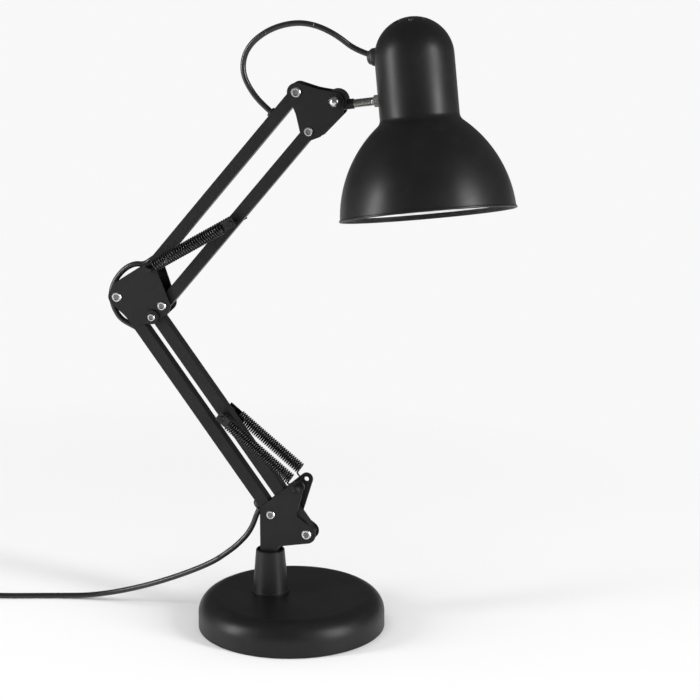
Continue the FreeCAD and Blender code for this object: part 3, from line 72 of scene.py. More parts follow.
def spline_line(points, samples=10):
    """Points along the smooth line that a row of control points gives."""
    curve = bpy.data.curves.new("line", "CURVE")
    curve.dimensions = "3D"
    curve.resolution_u = samples
    run = curve.splines.new("NURBS")
    run.points.add(len(points) - 1)
    for p, co in zip(run.points, points):
        p.co = (*co, 1.0)
    run.order_u = 3
    run.use_endpoint_u = True
    holder = bpy.data.objects.new("line", curve)
    scene.collection.objects.link(holder)
    bpy.context.view_layer.update()
    read = bpy.data.meshes.new_from_object(holder)
    line = [Vector(v.co) for v in read.vertices]
    bpy.data.objects.remove(holder)
    bpy.data.curves.remove(curve)
    bpy.data.meshes.remove(read)
    return line


def tube(name, line, radius, sides=4):
    """Round tube along a line of points, as a mesh."""
    curve = bpy.data.curves.new(name, "CURVE")
    curve.dimensions = "3D"
    curve.bevel_depth, curve.bevel_resolution = radius, sides
    curve.use_fill_caps = True
    run = curve.splines.new("POLY")
    run.points.add(len(line) - 1)
    for p, co in zip(run.points, line):
        p.co = (*co, 1.0)
    holder = bpy.data.objects.new(name + "_line", curve)
    scene.collection.objects.link(holder)
    bpy.context.view_layer.update()
    mesh = bpy.data.meshes.new_from_object(holder)
    bpy.data.objects.remove(holder)
    bpy.data.curves.remove(curve)
    mesh.name = name
    bm = bmesh.new()
    bm.from_mesh(mesh)
    bmesh.ops.remove_doubles(bm, verts=bm.verts, dist=1e-6)
    bmesh.ops.recalc_face_normals(bm, faces=bm.faces)
    bm.to_mesh(mesh)
    bm.free()
    for face in mesh.polygons:
        face.use_smooth = len(face.vertices) == 4
    return mesh


CABLE = 0.0056

# control points of the cables, as in the part's source
FOOT_ROUTE = [(-0.03528, 0.0, 0.14004), (-0.02763, 0.0, 0.12953),
              (-0.03448, 0.0, 0.11786), (-0.042, 0.0006, 0.0966),
              (-0.0554, 0.0014, 0.0806), (-0.0694, 0.0022, 0.0686)]
FLOOR_ROUTE = [(-0.0834, 0.0036, 0.0582), (-0.1018, 0.0052, 0.048),
               (-0.1238, 0.0074, 0.0374), (-0.1478, 0.01, 0.027),
               (-0.1728, 0.0128, 0.0176), (-0.1988, 0.0146, 0.0096),
               (-0.2248, 0.0144, 0.0042), (-0.2508, 0.0106, 0.00295),
               (-0.2778, 0.0038, 0.0028), (-0.3058, -0.004, 0.0028),
               (-0.3348, -0.0094, 0.0028), (-0.3638, -0.0104, 0.0028),
               (-0.3918, -0.006, 0.0028)]
ELBOW_ROUTE = [(-0.1305, 0.0, 0.2705), (-0.1483, 0.0, 0.29525),
               (-0.16408, 0.0, 0.30231), (-0.17524, 0.0, 0.30779),
               (-0.18153, 0.0, 0.31744), (-0.18448, 0.0, 0.32793),
               (-0.18448, 0.0, 0.33693), (-0.17958, 0.0, 0.34843),
               (-0.16978, 0.0, 0.35983), (-0.15858, 0.0, 0.36543),
               (-0.14916, 0.0, 0.36478), (-0.14042, 0.0, 0.37115),
               (-0.12654, 0.0, 0.3804), (-0.1119, 0.0, 0.3979)]
HEAD_ROUTE = [(-0.06978, 0.0, 0.44764), (-0.03812, 0.0, 0.48635),
              (-0.02029, 0.0, 0.50715), (-0.01156, 0.0, 0.51758),
              (-0.02183, 0.0, 0.52619), (-0.03137, 0.0, 0.53503),
              (-0.03937, 0.0, 0.54623), (-0.04417, 0.0, 0.55693),
              (-0.04477, 0.0, 0.56803), (-0.04197, 0.0, 0.57843),
              (-0.03557, 0.0, 0.58783), (-0.02677, 0.0, 0.59543),
              (-0.01637, 0.0, 0.60163), (-0.00377, 0.0, 0.60623),
              (0.00923, 0.0, 0.60843), (0.02023, 0.0, 0.60793),
              (0.03083, 0.0002, 0.60543), (0.04063, 0.0016, 0.60113),
              (0.05023, 0.0046, 0.59493), (0.06225, 0.01105, 0.58402),
              (0.08511, 0.00879, 0.57707), (0.09344, 0.01052, 0.58629),
              (0.10308, 0.01235, 0.59613), (0.11254, 0.01299, 0.60052),
              (0.11949, 0.01149, 0.59465), (0.12212, 0.0076, 0.57717)]
COIL_CENTRE = Vector((-0.4123831, -0.0467993, 0.0028))
COIL_START = 1.4149281
COIL_RADIUS, COIL_STEP, COIL_LOOPS = 0.0435, 0.00615, 3.0
TAIL_ROUTE = [(-0.45621, -0.0561, 0.00885), (-0.46067, -0.06952, 0.00785),
              (-0.46711, -0.08258, 0.00685), (-0.47417, -0.0935, 0.00685)]


def coil_route():
    """Loops of the stored cord: inwards on the floor, outwards on top."""
    made, turns, n = [], 2 * COIL_LOOPS + 0.25, COIL_LOOPS
    rise = CABLE + 0.00045
    for i in range(int(turns * 12) + 1):
        k = i / 12
        r, z = COIL_RADIUS - COIL_STEP * k, 0.0
        if k > n:
            f = min(1.0, (k - n) / 0.5)
            z = rise * (3 * f * f - 2 * f ** 3)
        if k > n + 0.5:
            g = min(1.0, (k - n - 0.5) / 0.6)
            r = (COIL_RADIUS - COIL_STEP * (2 * n + 1 - k)
                 + 0.42 * COIL_STEP * (3 * g * g - 2 * g ** 3))
        a = COIL_START + 2 * math.pi * k
        made.append(COIL_CENTRE + Vector((r * math.cos(a), r * math.sin(a), z)))
    return made


def half_way(route, i):
    """Middle of the straight run from control point i - 1 to i."""
    return (Vector(route[i - 1]) + Vector(route[i])) / 2


def nearest(line, place):
    place = Vector(place)
    return min(range(len(line)), key=lambda i: (line[i] - place).length)


def cable_length(name, line, node):
    """One length of the inner cable, which runs between two bodies, as a round tube in
    place of the given node.
    """
    piece = mesh_piece(name, tube(name, line, CABLE / 2))
    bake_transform(piece)
    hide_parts(node)
    return piece


def make_cables():
    made = []
    # mains lead: foot of bar A, down past the base, along the table, coil, plug
    line = spline_line(FOOT_ROUTE + FLOOR_ROUTE + coil_route() + TAIL_ROUTE)
    join = nearest(line, half_way(FOOT_ROUTE + FLOOR_ROUTE, len(FOOT_ROUTE)))
    hang, floor = line[:join + 1], line[join:]
    made.append(cable_length("cable_hang", hang,
                             "cable_lower"))
    lead = mesh_piece("mains_lead", tube("mains_lead", floor, CABLE / 2))
    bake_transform(lead)
    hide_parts("mains_cord", "cord_coil", "cord_tail")
    made.append(lead)
    # round the elbow, outside the bars
    line = spline_line(ELBOW_ROUTE)
    first, middle, last = (nearest(line, half_way(ELBOW_ROUTE, i)) for i in (3, 6, 11))
    made.append(cable_length("cable_elbow_in", line[:middle + 1],
                             "cable_elbow_low"))
    made.append(cable_length("cable_elbow_out", line[middle:],
                             "cable_elbow_high"))
    # loop from bar C over the bracket into the shade
    line = spline_line(HEAD_ROUTE)
    one, two, inlet = (nearest(line, half_way(HEAD_ROUTE, i)) for i in (12, 16, 20))
    made.append(cable_length("cable_loop_arm", line[:one + 1],
                             "cable_upper"))
    made.append(cable_length("cable_loop_top", line[one:two + 1],
                             "cable_loop_mid"))
    made.append(cable_length("cable_loop_shade", line[two:],
                             "cable_loop_end"))
    return made


# ---------------------------------------------------------------- materials
def node_group(name, inputs, outputs):
    tree = bpy.data.node_groups.new(name, "ShaderNodeTree")
    for label, kind, value in inputs:
        sock = tree.interface.new_socket(label, in_out="INPUT", socket_type=kind)
        sock.default_value = value
    for label, kind in outputs:
        tree.interface.new_socket(label, in_out="OUTPUT", socket_type=kind)
    return tree, tree.nodes.new("NodeGroupInput"), tree.nodes.new("NodeGroupOutput")


def add(tree, kind, values=None, **props):
    node = tree.nodes.new(kind)
    for key, value in props.items():
        setattr(node, key, value)
    for key, value in (values or {}).items():
        node.inputs[key].default_value = value
    return node


def powder_grain():
    """Fine orange-peel of a baked powder coat, with faint large clouds."""
    tree, inp, out = node_group("Powder grain",
                                [("Scale", "NodeSocketFloat", 1600.0)],
                                [("Height", "NodeSocketFloat"),
                                 ("Clouds", "NodeSocketFloat")])
    at = add(tree, "ShaderNodeTexCoord")
    fine = add(tree, "ShaderNodeTexNoise", {"Detail": 2.0, "Roughness": 0.55})
    wide = add(tree, "ShaderNodeTexNoise", {"Scale": 24.0, "Detail": 4.0})
    tree.links.new(at.outputs["Object"], fine.inputs["Vector"])
    tree.links.new(at.outputs["Object"], wide.inputs["Vector"])
    tree.links.new(inp.outputs["Scale"], fine.inputs["Scale"])
    tree.links.new(fine.outputs["Fac"], out.inputs["Height"])
    tree.links.new(wide.outputs["Fac"], out.inputs["Clouds"])
    return tree


def handling_marks():
    """Sparse rubbed spots and dust, as a mask from 0 to 1."""
    tree, inp, out = node_group("Handling marks",
                                [("Scale", "NodeSocketFloat", 60.0),
                                 ("Amount", "NodeSocketFloat", 0.5)],
                                [("Mask", "NodeSocketFloat")])
    at = add(tree, "ShaderNodeTexCoord")
    noise = add(tree, "ShaderNodeTexNoise", {"Detail": 6.0, "Roughness": 0.7})
    spread = add(tree, "ShaderNodeMapRange",
                 {"From Min": 0.52, "From Max": 0.75, "To Min": 0.0})
    tree.links.new(at.outputs["Object"], noise.inputs["Vector"])
    tree.links.new(inp.outputs["Scale"], noise.inputs["Scale"])
    tree.links.new(noise.outputs["Fac"], spread.inputs["Value"])
    tree.links.new(inp.outputs["Amount"], spread.inputs["To Max"])
    tree.links.new(spread.outputs["Result"], out.inputs["Mask"])
    return tree


def turning_lines():
    """Fine lines left by the lathe or the brush."""
    tree, inp, out = node_group("Turning lines",
                                [("Scale", "NodeSocketFloat", 900.0),
                                 ("Stretch", "NodeSocketVector", (1.0, 1.0, 1.0))],
                                [("Height", "NodeSocketFloat")])
    at = add(tree, "ShaderNodeTexCoord")
    pull = add(tree, "ShaderNodeVectorMath", operation="MULTIPLY")
    noise = add(tree, "ShaderNodeTexNoise", {"Detail": 3.0, "Roughness": 0.6})
    tree.links.new(at.outputs["Object"], pull.inputs[0])
    tree.links.new(inp.outputs["Stretch"], pull.inputs[1])
    tree.links.new(pull.outputs[0], noise.inputs["Vector"])
    tree.links.new(inp.outputs["Scale"], noise.inputs["Scale"])
    tree.links.new(noise.outputs["Fac"], out.inputs["Height"])
    return tree


GRAIN, MARKS, LINES = powder_grain(), handling_marks(), turning_lines()


def finish_of(name, colour, rough, metallic=0.0):
    mat = bpy.data.materials.new(name)
    mat.use_nodes = True
    tree = mat.node_tree
    tree.nodes.clear()
    out = tree.nodes.new("ShaderNodeOutputMaterial")
    bsdf = add(tree, "ShaderNodeBsdfPrincipled",
               {"Base Color": (*colour, 1.0), "Roughness": rough,
                "Metallic": metallic})
    tree.links.new(bsdf.outputs[0], out.inputs["Surface"])
    return mat, tree, bsdf


def use_group(tree, group, **values):
    node = tree.nodes.new("ShaderNodeGroup")
    node.node_tree = group
    for key, value in values.items():
        node.inputs[key].default_value = value
    return node


def bump_from(tree, bsdf, height, strength, distance):
    bump = add(tree, "ShaderNodeBump", {"Strength": strength, "Distance": distance})
    tree.links.new(height, bump.inputs["Height"])
    tree.links.new(bump.outputs["Normal"], bsdf.inputs["Normal"])


def mixed(tree, factor, a, b):
    mix = add(tree, "ShaderNodeMix", data_type="RGBA")
    mix.inputs[6].default_value, mix.inputs[7].default_value = (*a, 1.0), (*b, 1.0)
    tree.links.new(factor, mix.inputs[0])
    return mix.outputs[2]


def ranged(tree, value, low, high, start=0.0, end=1.0):
    node = add(tree, "ShaderNodeMapRange", {"From Min": start, "From Max": end,
                                            "To Min": low, "To Max": high})
    tree.links.new(value, node.inputs["Value"])
    return node.outputs["Result"]


NOISE_SPAN = (0.3, 0.7)    # where nearly all of a noise's values lie


def powder_coat(name, colour, rough, grain=1600.0, depth=0.35, sheen=0.3):
    mat, tree, bsdf = finish_of(name, colour, rough)
    bsdf.inputs["Specular IOR Level"].default_value = sheen
    fine = use_group(tree, GRAIN, Scale=grain)
    marks = use_group(tree, MARKS, Scale=45.0, Amount=0.45)
    lighter = tuple(c * 1.7 + 0.004 for c in colour)
    tree.links.new(mixed(tree, marks.outputs["Mask"], colour, lighter),
                   bsdf.inputs["Base Color"])
    tree.links.new(ranged(tree, fine.outputs["Clouds"], rough - 0.05, rough + 0.05,
                          *NOISE_SPAN), bsdf.inputs["Roughness"])
    bump_from(tree, bsdf, fine.outputs["Height"], depth, 0.00012)
    return mat


def plated(name, colour, rough, stretch=(1.0, 1.0, 1.0), scale=900.0):
    mat, tree, bsdf = finish_of(name, colour, rough, 1.0)
    lines = use_group(tree, LINES, Scale=scale, Stretch=stretch)
    marks = use_group(tree, MARKS, Scale=220.0, Amount=0.8)
    dull = tuple(c * 0.55 for c in colour)
    tree.links.new(mixed(tree, marks.outputs["Mask"], colour, dull),
                   bsdf.inputs["Base Color"])
    tree.links.new(ranged(tree, lines.outputs["Height"], rough - 0.08, rough + 0.1,
                          *NOISE_SPAN), bsdf.inputs["Roughness"])
    bump_from(tree, bsdf, lines.outputs["Height"], 0.25, 0.00005)
    return mat


def moulded(name, colour, rough, grain=700.0, depth=0.2):
    mat, tree, bsdf = finish_of(name, colour, rough)
    fine = use_group(tree, GRAIN, Scale=grain)
    lighter = tuple(c * 1.5 + 0.003 for c in colour)
    marks = use_group(tree, MARKS, Scale=90.0, Amount=0.5)
    tree.links.new(mixed(tree, marks.outputs["Mask"], colour, lighter),
                   bsdf.inputs["Base Color"])
    tree.links.new(ranged(tree, fine.outputs["Clouds"], rough - 0.06, rough + 0.06,
                          *NOISE_SPAN), bsdf.inputs["Roughness"])
    bump_from(tree, bsdf, fine.outputs["Height"], depth, 0.0001)
    return mat


BLACK = (0.0065, 0.0065, 0.007)
FINISH = {
    "black_enamel": powder_coat("Black powder coat", BLACK, 0.42),
    "shade_enamel": powder_coat("Black shade coat", BLACK, 0.40, 1500.0, 0.4),
    "white_enamel": powder_coat("White shade lining", (0.86, 0.86, 0.86), 0.38, 900.0, 0.2,
                                0.5),
    "cast_iron": powder_coat("Cast iron", (0.10, 0.10, 0.10), 0.6, 500.0, 0.8, 0.5),
    "felt": moulded("Black felt", (0.02, 0.02, 0.02), 0.95, 2200.0, 0.9),
    "nickel": plated("Nickel plate", (0.66, 0.65, 0.63), 0.24),
    "stem_steel": plated("Brushed stem steel", (0.50, 0.49, 0.47), 0.30, (0.08, 1.0, 1.0)),
    "spring_steel": plated("Dark spring wire", (0.045, 0.045, 0.047), 0.28),
    "cable_black": moulded("Black cable vinyl", (0.012, 0.012, 0.012), 0.27, 900.0, 0.12),
    "plug_black": moulded("Black plug vinyl", (0.016, 0.016, 0.016), 0.40, 900.0, 0.25),
    "rubber_black": moulded("Black rubber", (0.014, 0.014, 0.014), 0.50, 1200.0, 0.3),
    "holder_white": moulded("Lampholder plastic", (0.72, 0.70, 0.66), 0.45, 700.0, 0.15),
    "bulb_glass": moulded("Frosted bulb", (0.88, 0.88, 0.85), 0.25, 400.0, 0.05),
}


def paint(piece, name):
    if piece.data.materials:
        for slot in piece.material_slots:
            slot.material = FINISH[name]
    else:
        piece.data.materials.append(FINISH[name])


# ----------------------------------------------------------------- springs
WIRE, COIL_OUT = 0.0017, 0.012
LOWER_TURNS, UPPER_TURNS = 34, 30
HOOK_START, TAB_END = 0.0105, 0.0091
SPRING_DEPTH, HOOK_OFF, REAR_HOOK_OFF = 0.018, 0.0048, 0.0105
LOWER_GROOVE, UPPER_GROOVE = 0.0022, 0.0025
STUD, REAR_STUD = Vector((0.0102, 0, 0.1496)), Vector((0.0067, 0, 0.1451))
LOWER_PIN = Vector((-0.0653504, 0, 0.2168927))
BOLT, UPPER_PIN = Vector((-0.1406761, 0, 0.3635347)), Vector((-0.0545017, 0, 0.4143685))
# (place along the spring, share of the turn) at the cuts between its lengths
LOWER_BENDS = ((0.0, 0.0), (0.10, 0.24), (0.30, 0.56), (0.55, 0.785),
               (0.80, 0.925), (1.0, 1.0))
UPPER_BENDS = ((0.0, 0.0), (0.10, 0.42), (0.30, 0.75), (0.55, 0.90),
               (0.80, 0.97), (1.0, 1.0))


def spring_line(hook, far, off, turns):
    """Centre line of an extension spring: open hook, shank and turns."""
    wire, coil = WIRE / 2, COIL_OUT / 2 - WIRE / 2
    top = off == 0
    loop = (UPPER_GROOVE if top else LOWER_GROOVE) + wire + 0.00025
    base = far - hook
    length = math.sqrt(base.length ** 2 - off * off)
    tilt = math.atan2(base.z, base.x) + math.asin(off / base.length)
    axis = Vector((math.cos(tilt), 0, math.sin(tilt)))
    up = Vector((math.sin(tilt), 0, -math.cos(tilt))) if off else \
        Vector((-math.sin(tilt), 0, math.cos(tilt)))
    side, origin = Vector((0, 1, 0)), hook + up * off

    def at(x, y, z):
        return origin + axis * x + side * y + up * z

    line = []
    for i in range(19):
        a = math.radians(-15.0 * i)
        line.append(at(loop * math.cos(a), 0, -off + loop * math.sin(a)))
    pitch = (length - TAB_END - HOOK_START) / turns
    phase = math.pi / 2 if top else -math.pi / 2
    p, t = at(0, 0, loop - off), axis
    q = at(HOOK_START, coil * math.cos(phase), coil * math.sin(phase))
    u = (axis * pitch / (2 * math.pi) - side * coil * math.sin(phase)).normalized()
    reach = (q - p).length
    for i in range(1, 10):
        f = i / 10
        line.append((2 * f ** 3 - 3 * f * f + 1) * p + (f ** 3 - 2 * f * f + f) * t * reach
                    + (3 * f * f - 2 * f ** 3) * q + (f ** 3 - f * f) * u * reach)
    for i in range(turns * 20 + 1):
        a = 2 * math.pi * i / 20 + phase
        line.append(at(HOOK_START + pitch * i / 20, coil * math.cos(a), coil * math.sin(a)))
    return line


def cut_piece(name, mesh, hook, far, low, high):
    """The part of a mesh between two places along the line hook to far."""
    bm = bmesh.new()
    bm.from_mesh(mesh)
    line = far - hook
    for place, clear_in, clear_out in ((low, True, False), (high, False, True)):
        if 0.0 < place < 1.0:
            bmesh.ops.bisect_plane(
                bm, geom=bm.verts[:] + bm.edges[:] + bm.faces[:], dist=1e-7,
                plane_co=hook + line * place, plane_no=line.normalized(),
                clear_inner=clear_in, clear_outer=clear_out)
    out = bpy.data.meshes.new(name)
    bm.to_mesh(out)
    bm.free()
    for face in out.polygons:
        face.use_smooth = True
    return out


def make_spring(name, hook, far, off, turns, bends):
    """A spring between two bodies, cut into lengths at the given places along it."""
    whole = tube(name, spring_line(hook, far, off, turns), WIRE / 2, 3)
    for i, (low, high) in enumerate(zip(bends, bends[1:])):
        label = "%s_%d" % (name, i + 1)
        piece = mesh_piece(label, cut_piece(label, whole, hook, far, low[0], high[0]))
        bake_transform(piece)
        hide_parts(name)
        paint(piece, "spring_steel")


def make_tab(node):
    """The tab in a spring's end, copied and painted as spring steel."""
    bm = bmesh.new()
    bm.from_mesh(frame["nodes"][node].data)
    bmesh.ops.remove_doubles(bm, verts=bm.verts, dist=1e-6)
    mesh = bpy.data.meshes.new(node + "_dressed")
    bm.to_mesh(mesh)
    bm.free()
    piece = mesh_piece(node + "_dressed", mesh)
    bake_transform(piece)
    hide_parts(node)
    paint(piece, "spring_steel")


def make_springs():
    for side, y, stud, off in (("front", -SPRING_DEPTH, STUD, HOOK_OFF),
                               ("rear", SPRING_DEPTH, REAR_STUD, REAR_HOOK_OFF)):
        shift = Vector((0, y, 0))
        hook, far = stud + shift, LOWER_PIN + shift
        make_spring("lower_spring_" + side, hook, far, off, LOWER_TURNS, LOWER_BENDS)
        make_tab("lower_tab_" + side)
        hook, far = BOLT + shift, UPPER_PIN + shift
        make_spring("upper_spring_" + side, hook, far, 0.0, UPPER_TURNS, UPPER_BENDS)
        make_tab("upper_tab_" + side)


# ------------------------------------------------------------------- shade
STEM_PLACE = (Matrix.Translation((0.1272559, 0.0, 0.5429755))
              @ Matrix.Rotation(math.radians(-8.55), 4, "Y"))
SHADE_PLACE = STEM_PLACE @ Matrix.Rotation(math.radians(-12.4), 4, "X")
CAP_RADIUS, CAP_TOP, NECK_ROUND = 0.0379, 0.0374, 0.0086
BELL = ((0.0834, -0.1103), (0.0715, -0.0647), (CAP_RADIUS, -0.0234))


def circle_through(a, b, c):
    """Centre and radius of the circle through three points of a plane."""
    (ax, ay), (bx, by), (cx, cy) = a, b, c
    d = 2 * (ax * (by - cy) + bx * (cy - ay) + cx * (ay - by))
    aa, bb, cc = ax * ax + ay * ay, bx * bx + by * by, cx * cx + cy * cy
    ux = (aa * (by - cy) + bb * (cy - ay) + cc * (ay - by)) / d
    uy = (aa * (cx - bx) + bb * (ax - cx) + cc * (bx - ax)) / d
    return ux, uy, math.hypot(ax - ux, ay - uy)


def arc(x, y, radius, first, last, steps):
    return [(x + radius * math.cos(first + (last - first) * i / steps),
             y + radius * math.sin(first + (last - first) * i / steps))
            for i in range(steps + 1)]


def bell_profile(inset):
    """Half outline of the shade from rim to crown, in its own frame:
    an arc for the bell, a hollow rounding, the straight cap and its dome."""
    bx, bz, bell = circle_through(*BELL)
    nx = CAP_RADIUS + NECK_ROUND
    nz = bz + math.sqrt((bell + NECK_ROUND) ** 2 - (nx - bx) ** 2)
    low = math.asin((BELL[0][1] - bz) / (bell - inset))
    meet = math.atan2(nz - bz, nx - bx)
    points = arc(bx, bz, bell - inset, low, meet, 36)
    points += arc(nx, nz, NECK_ROUND + inset, meet + math.pi, math.pi, 8)[1:]
    side = CAP_RADIUS - inset
    points += [(side, nz + (CAP_TOP - nz) * i / 4) for i in range(1, 4)]
    return points + arc(0.0, CAP_TOP, side, 0.0, math.pi / 2, 16)


def spin_section(points, axis, steps=96):
    """Closed solid from a half section; points are (radius, along axis)."""
    bm = bmesh.new()
    across = axis.orthogonal().normalized()
    ring = [bm.verts.new(across * r + axis * z) for r, z in points]
    edges = [bm.edges.new((a, b)) for a, b in zip(ring, ring[1:])]
    if points[0][0] > 1e-7 or points[-1][0] > 1e-7:
        edges.append(bm.edges.new((ring[-1], ring[0])))
    bmesh.ops.spin(bm, geom=ring + edges, cent=(0, 0, 0), axis=axis, dvec=(0, 0, 0),
                   angle=2 * math.pi, steps=steps, use_merge=True, use_duplicate=False)
    bmesh.ops.remove_doubles(bm, verts=bm.verts, dist=1e-6)
    bmesh.ops.dissolve_degenerate(bm, edges=bm.edges, dist=1e-7)
    bmesh.ops.recalc_face_normals(bm, faces=bm.faces)
    return bm


def finished_mesh(bm, name, place=None, sharp=math.radians(32)):
    if place is not None:
        bmesh.ops.transform(bm, matrix=place, verts=bm.verts)
    for face in bm.faces:
        face.smooth = True
    for edge in bm.edges:
        if len(edge.link_faces) == 2 and edge.calc_face_angle(0.0) > sharp:
            edge.smooth = False
    mesh = bpy.data.meshes.new(name)
    bm.to_mesh(mesh)
    bm.free()
    return mesh


def drill(mesh, holes):
    """Holes through a mesh; each is (centre, axis, radius, length)."""
    bm = bmesh.new()
    for centre, axis, radius, length in holes:
        turn = Vector((0, 0, 1)).rotation_difference(Vector(axis)).to_matrix().to_4x4()
        bmesh.ops.create_cone(bm, cap_ends=True, segments=28, radius1=radius,
                              radius2=radius, depth=length,
                              matrix=Matrix.Translation(centre) @ turn)
    tool_mesh = bpy.data.meshes.new("drill")
    bm.to_mesh(tool_mesh)
    bm.free()
    work, tool = mesh_piece("work", mesh), mesh_piece("drill", tool_mesh)
    cut = work.modifiers.new("holes", "BOOLEAN")
    cut.operation, cut.solver, cut.object = "DIFFERENCE", "EXACT", tool
    bpy.context.view_layer.update()
    view = bpy.context.evaluated_depsgraph_get()
    done = bpy.data.meshes.new_from_object(work.evaluated_get(view))
    bpy.data.objects.remove(work)
    bpy.data.objects.remove(tool)
    bpy.data.meshes.remove(tool_mesh)
    return done


BARE_EDGE = -0.1076     # the white lining stops short of the rim
VENT_RING, VENT_RADIUS, VENT_COUNT = 0.0185, 0.0029, 8
STEM_HOLE, INLET_HOLE, INLET_AT = 0.00425, 0.0063, 0.0415


def make_shade():
    outer, inner = bell_profile(0.0), bell_profile(0.001)
    rim = [(0.0822, -0.1107), (0.0822, -0.1119), (0.0828, -0.1127), (0.0837, -0.1127),
           (0.0844, -0.1121), (0.0844, -0.1111), (0.0839, -0.1104)]
    section = rim + outer + inner[::-1]
    bm = spin_section(section, Vector((0, 0, 1)), 128)
    for face in bm.faces:
        c = face.calc_center_median()
        away = Vector((c.x, c.y, max(0.0, c.z - CAP_TOP)))
        inside = face.normal.dot(away) < 0 and c.z > BARE_EDGE
        face.material_index = 1 if inside else 0
    mesh = finished_mesh(bm, "shade")
    mesh.materials.append(FINISH["shade_enamel"])
    mesh.materials.append(FINISH["white_enamel"])
    holes = [((VENT_RING * math.cos(a), VENT_RING * math.sin(a), 0.068), (0, 0, 1),
              VENT_RADIUS, 0.03)
             for a in (math.radians(-79 + 45 * i) for i in range(VENT_COUNT))]
    holes += [((-0.037, 0, 0), (1, 0, 0), STEM_HOLE, 0.012),
              ((-0.037, 0, INLET_AT), (1, 0, 0), INLET_HOLE, 0.012)]
    mesh = drill(mesh, holes)
    mesh.transform(SHADE_PLACE)
    piece = mesh_piece("shade", mesh)
    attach(piece, "head")
    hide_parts("shade_shell")


def make_stem():
    """Threaded tube between the knuckle and the shade."""
    low, crest, root, bore, pitch = -0.0735, 0.0041, 0.0037, 0.0027, 0.0014
    high = -0.0290
    count = int((high - low) / pitch)
    section = [(bore, low)]
    for i in range(count):
        z = low + pitch * i
        section += [(root, z), (crest, z + pitch * 0.35), (crest, z + pitch * 0.6),
                    (root, z + pitch * 0.95)]
    section.append((bore, low + pitch * count))
    bm = spin_section(section, Vector((1, 0, 0)), 40)
    mesh = finished_mesh(bm, "stem_thread", STEM_PLACE)
    mesh.materials.append(FINISH["stem_steel"])
    piece = mesh_piece("stem_thread", mesh)
    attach(piece, "head")
    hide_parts("shade_stem")


# ------------------------------------------------------------------ rivets
RIVET_FORM = ((0.0, 0.0007), (0.24, 0.00085), (0.52, 0.0007), (0.61, 0.0001),
              (0.71, 0.0), (0.85, 0.0001), (0.94, 0.0005))


def make_rivet(name, centre, half, body, head, extra=0.0, high=0.0015):
    """Tubular rivet: rolled ring at both ends round a rough sunk core, coloured dark grey
    as painted shade in the rivet's hollow.
    """
    def end(sign, base):
        return ([(head * share, sign * (base + high - low)) for share, low in RIVET_FORM]
                + [(head, sign * (base + 0.0006)), (head, sign * base)])
    section = end(-1, half + extra) + [(0.003, -(half + extra)), (0.003, half)] \
        + end(1, half)[::-1]
    bm = spin_section(section, Vector((0, 1, 0)), 40)
    for face in bm.faces:
        c = face.calc_center_median()
        # faces near the axis take the dark core finish: painted shade standing for the
        # rivet's hollow
        face.material_index = 1 if math.hypot(c.x, c.z) < 0.57 * head else 0
    mesh = finished_mesh(bm, name + "_dressed", Matrix.Translation(centre))
    mesh.materials.append(FINISH["nickel"])
    mesh.materials.append(FINISH["rivet_core"])
    piece = mesh_piece(name + "_dressed", mesh)
    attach(piece, body)
    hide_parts(name)


# dark grey rivet core: painted shade of the hollow inside each rivet
FINISH["rivet_core"] = plated("Rivet core painted shade", (0.20, 0.20, 0.20), 0.5)


def make_rivets():
    narrow, wide = 0.0080, 0.0101
    large, small, boss = 0.0050, 0.0045, 0.0039
    for name, x, z, half, body, head, extra in (
            ("foot_rivet_a", -0.0188, 0.1174, narrow, "foot_bracket", small, 0.0),
            ("foot_rivet_b", 0.0182, 0.0996, narrow, "foot_bracket", large, 0.0),
            ("elbow_rivet_a", -0.1753761, 0.3324347, wide, "elbow", large, 0.0),
            ("elbow_rivet_d", -0.1283761, 0.3262347, wide, "elbow", small, 0.0),
            ("elbow_rivet_b", -0.1383761, 0.3146347, wide, "elbow", boss, 0.003),
            ("head_rivet_c", 0.0100277, 0.5433276, narrow, "head_bracket", large, 0.0),
            ("head_rivet_d", 0.0223277, 0.5060276, narrow, "head_bracket", small, 0.0)):
        make_rivet(name, Vector((x, 0, z)), half, body, head, extra)


# ------------------------------------------------------------ stage, lights
PAPER = 0.94


def make_stage():
    """Table top: lit round the lamp, even paper white for the camera beyond."""
    bm = bmesh.new()
    bmesh.ops.create_grid(bm, x_segments=1, y_segments=1, size=9.0)
    mesh = bpy.data.meshes.new("table_top")
    bm.to_mesh(mesh)
    bm.free()
    floor = mesh_piece("table_top", mesh)
    mat, tree, bsdf = finish_of("Pale table", (0.90, 0.90, 0.90), 0.9)
    bsdf.inputs["Specular IOR Level"].default_value = 0.1
    place = add(tree, "ShaderNodeTexCoord")
    away = add(tree, "ShaderNodeVectorMath", {1: (-0.17, 0.0, 0.0)},
               operation="DISTANCE")
    path = add(tree, "ShaderNodeLightPath")
    both = add(tree, "ShaderNodeMath", operation="MULTIPLY")
    even = add(tree, "ShaderNodeEmission", {"Color": (PAPER, PAPER, PAPER, 1)})
    mix = add(tree, "ShaderNodeMixShader")
    out = next(n for n in tree.nodes if n.type == "OUTPUT_MATERIAL")
    tree.links.new(place.outputs["Object"], away.inputs[0])
    tree.links.new(ranged(tree, away.outputs["Value"], 0.0, 1.0, 0.22, 0.80),
                   both.inputs[0])
    tree.links.new(path.outputs["Is Camera Ray"], both.inputs[1])
    tree.links.new(both.outputs[0], mix.inputs[0])
    tree.links.new(bsdf.outputs[0], mix.inputs[1])
    tree.links.new(even.outputs[0], mix.inputs[2])
    tree.links.new(mix.outputs[0], out.inputs["Surface"])
    floor.data.materials.append(mat)


FILL, SHINE = 0.40, 0.14


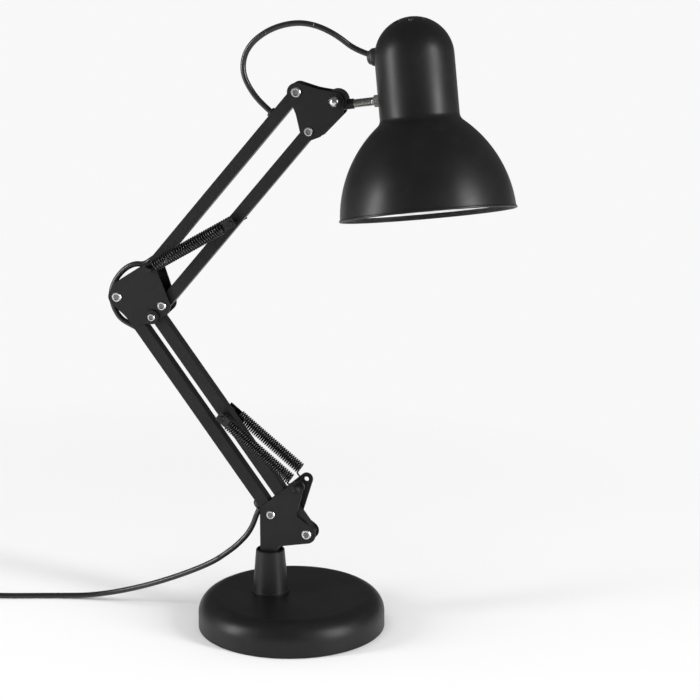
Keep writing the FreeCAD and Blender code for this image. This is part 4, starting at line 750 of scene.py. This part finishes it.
def make_world():
    """White to the camera, a soft fill for light, dim in reflections."""
    world = bpy.data.worlds.new("Studio")
    scene.world = world
    world.use_nodes = True
    tree = world.node_tree
    tree.nodes.clear()
    out = tree.nodes.new("ShaderNodeOutputWorld")
    seen = add(tree, "ShaderNodeBackground", {"Color": (PAPER, PAPER, PAPER, 1)})
    fill = add(tree, "ShaderNodeBackground", {"Color": (1, 1, 1, 1), "Strength": FILL})
    dim = add(tree, "ShaderNodeBackground", {"Color": (1, 1, 1, 1), "Strength": SHINE})
    path = tree.nodes.new("ShaderNodeLightPath")
    shine, mix = (tree.nodes.new("ShaderNodeMixShader") for _ in range(2))
    tree.links.new(path.outputs["Is Glossy Ray"], shine.inputs[0])
    tree.links.new(fill.outputs[0], shine.inputs[1])
    tree.links.new(dim.outputs[0], shine.inputs[2])
    tree.links.new(path.outputs["Is Camera Ray"], mix.inputs[0])
    tree.links.new(shine.outputs[0], mix.inputs[1])
    tree.links.new(seen.outputs[0], mix.inputs[2])
    tree.links.new(mix.outputs[0], out.inputs["Surface"])


def add_softbox(name, place, aim, width, height, watts):
    data = bpy.data.lights.new(name, "AREA")
    data.shape, data.size, data.size_y, data.energy = "RECTANGLE", width, height, watts
    lamp = bpy.data.objects.new(name, data)
    lamp.location = place
    lamp.rotation_euler = (Vector(aim) - Vector(place)).to_track_quat("-Z", "Y").to_euler()
    scene.collection.objects.link(lamp)


BOX_WIDTH, BOX_HEIGHT, BOX_WATTS = 0.30, 1.6, 42.0


def make_lights():
    """Two narrow upright softboxes for the edge lights, and a broad sun."""
    middle = (0.0, 0.0, 0.30)
    add_softbox("left_softbox", (-2.05, -1.15, 0.75), middle,
                BOX_WIDTH, BOX_HEIGHT, BOX_WATTS)
    add_softbox("right_softbox", (1.95, -0.60, 0.80), middle,
                BOX_WIDTH, BOX_HEIGHT, BOX_WATTS)
    sun = bpy.data.lights.new("overhead", "SUN")
    sun.energy, sun.angle = 0.80, math.radians(50)
    lamp = bpy.data.objects.new("overhead", sun)
    lamp.visible_glossy = False
    lamp.rotation_euler = (math.radians(12), math.radians(-8), 0)
    scene.collection.objects.link(lamp)


# ---------------------------------------------------------------- assembly
SLOT_OF = {s["node"]: s["material_slot"] for s in frame["record"]["subparts"]}

set_camera()
cables = make_cables()
for name, piece in frame["nodes"].items():
    paint(piece, SLOT_OF[name])
for piece in cables:
    paint(piece, "cable_black")
make_springs()
make_shade()
make_stem()
make_rivets()
make_stage()
make_world()
make_lights()
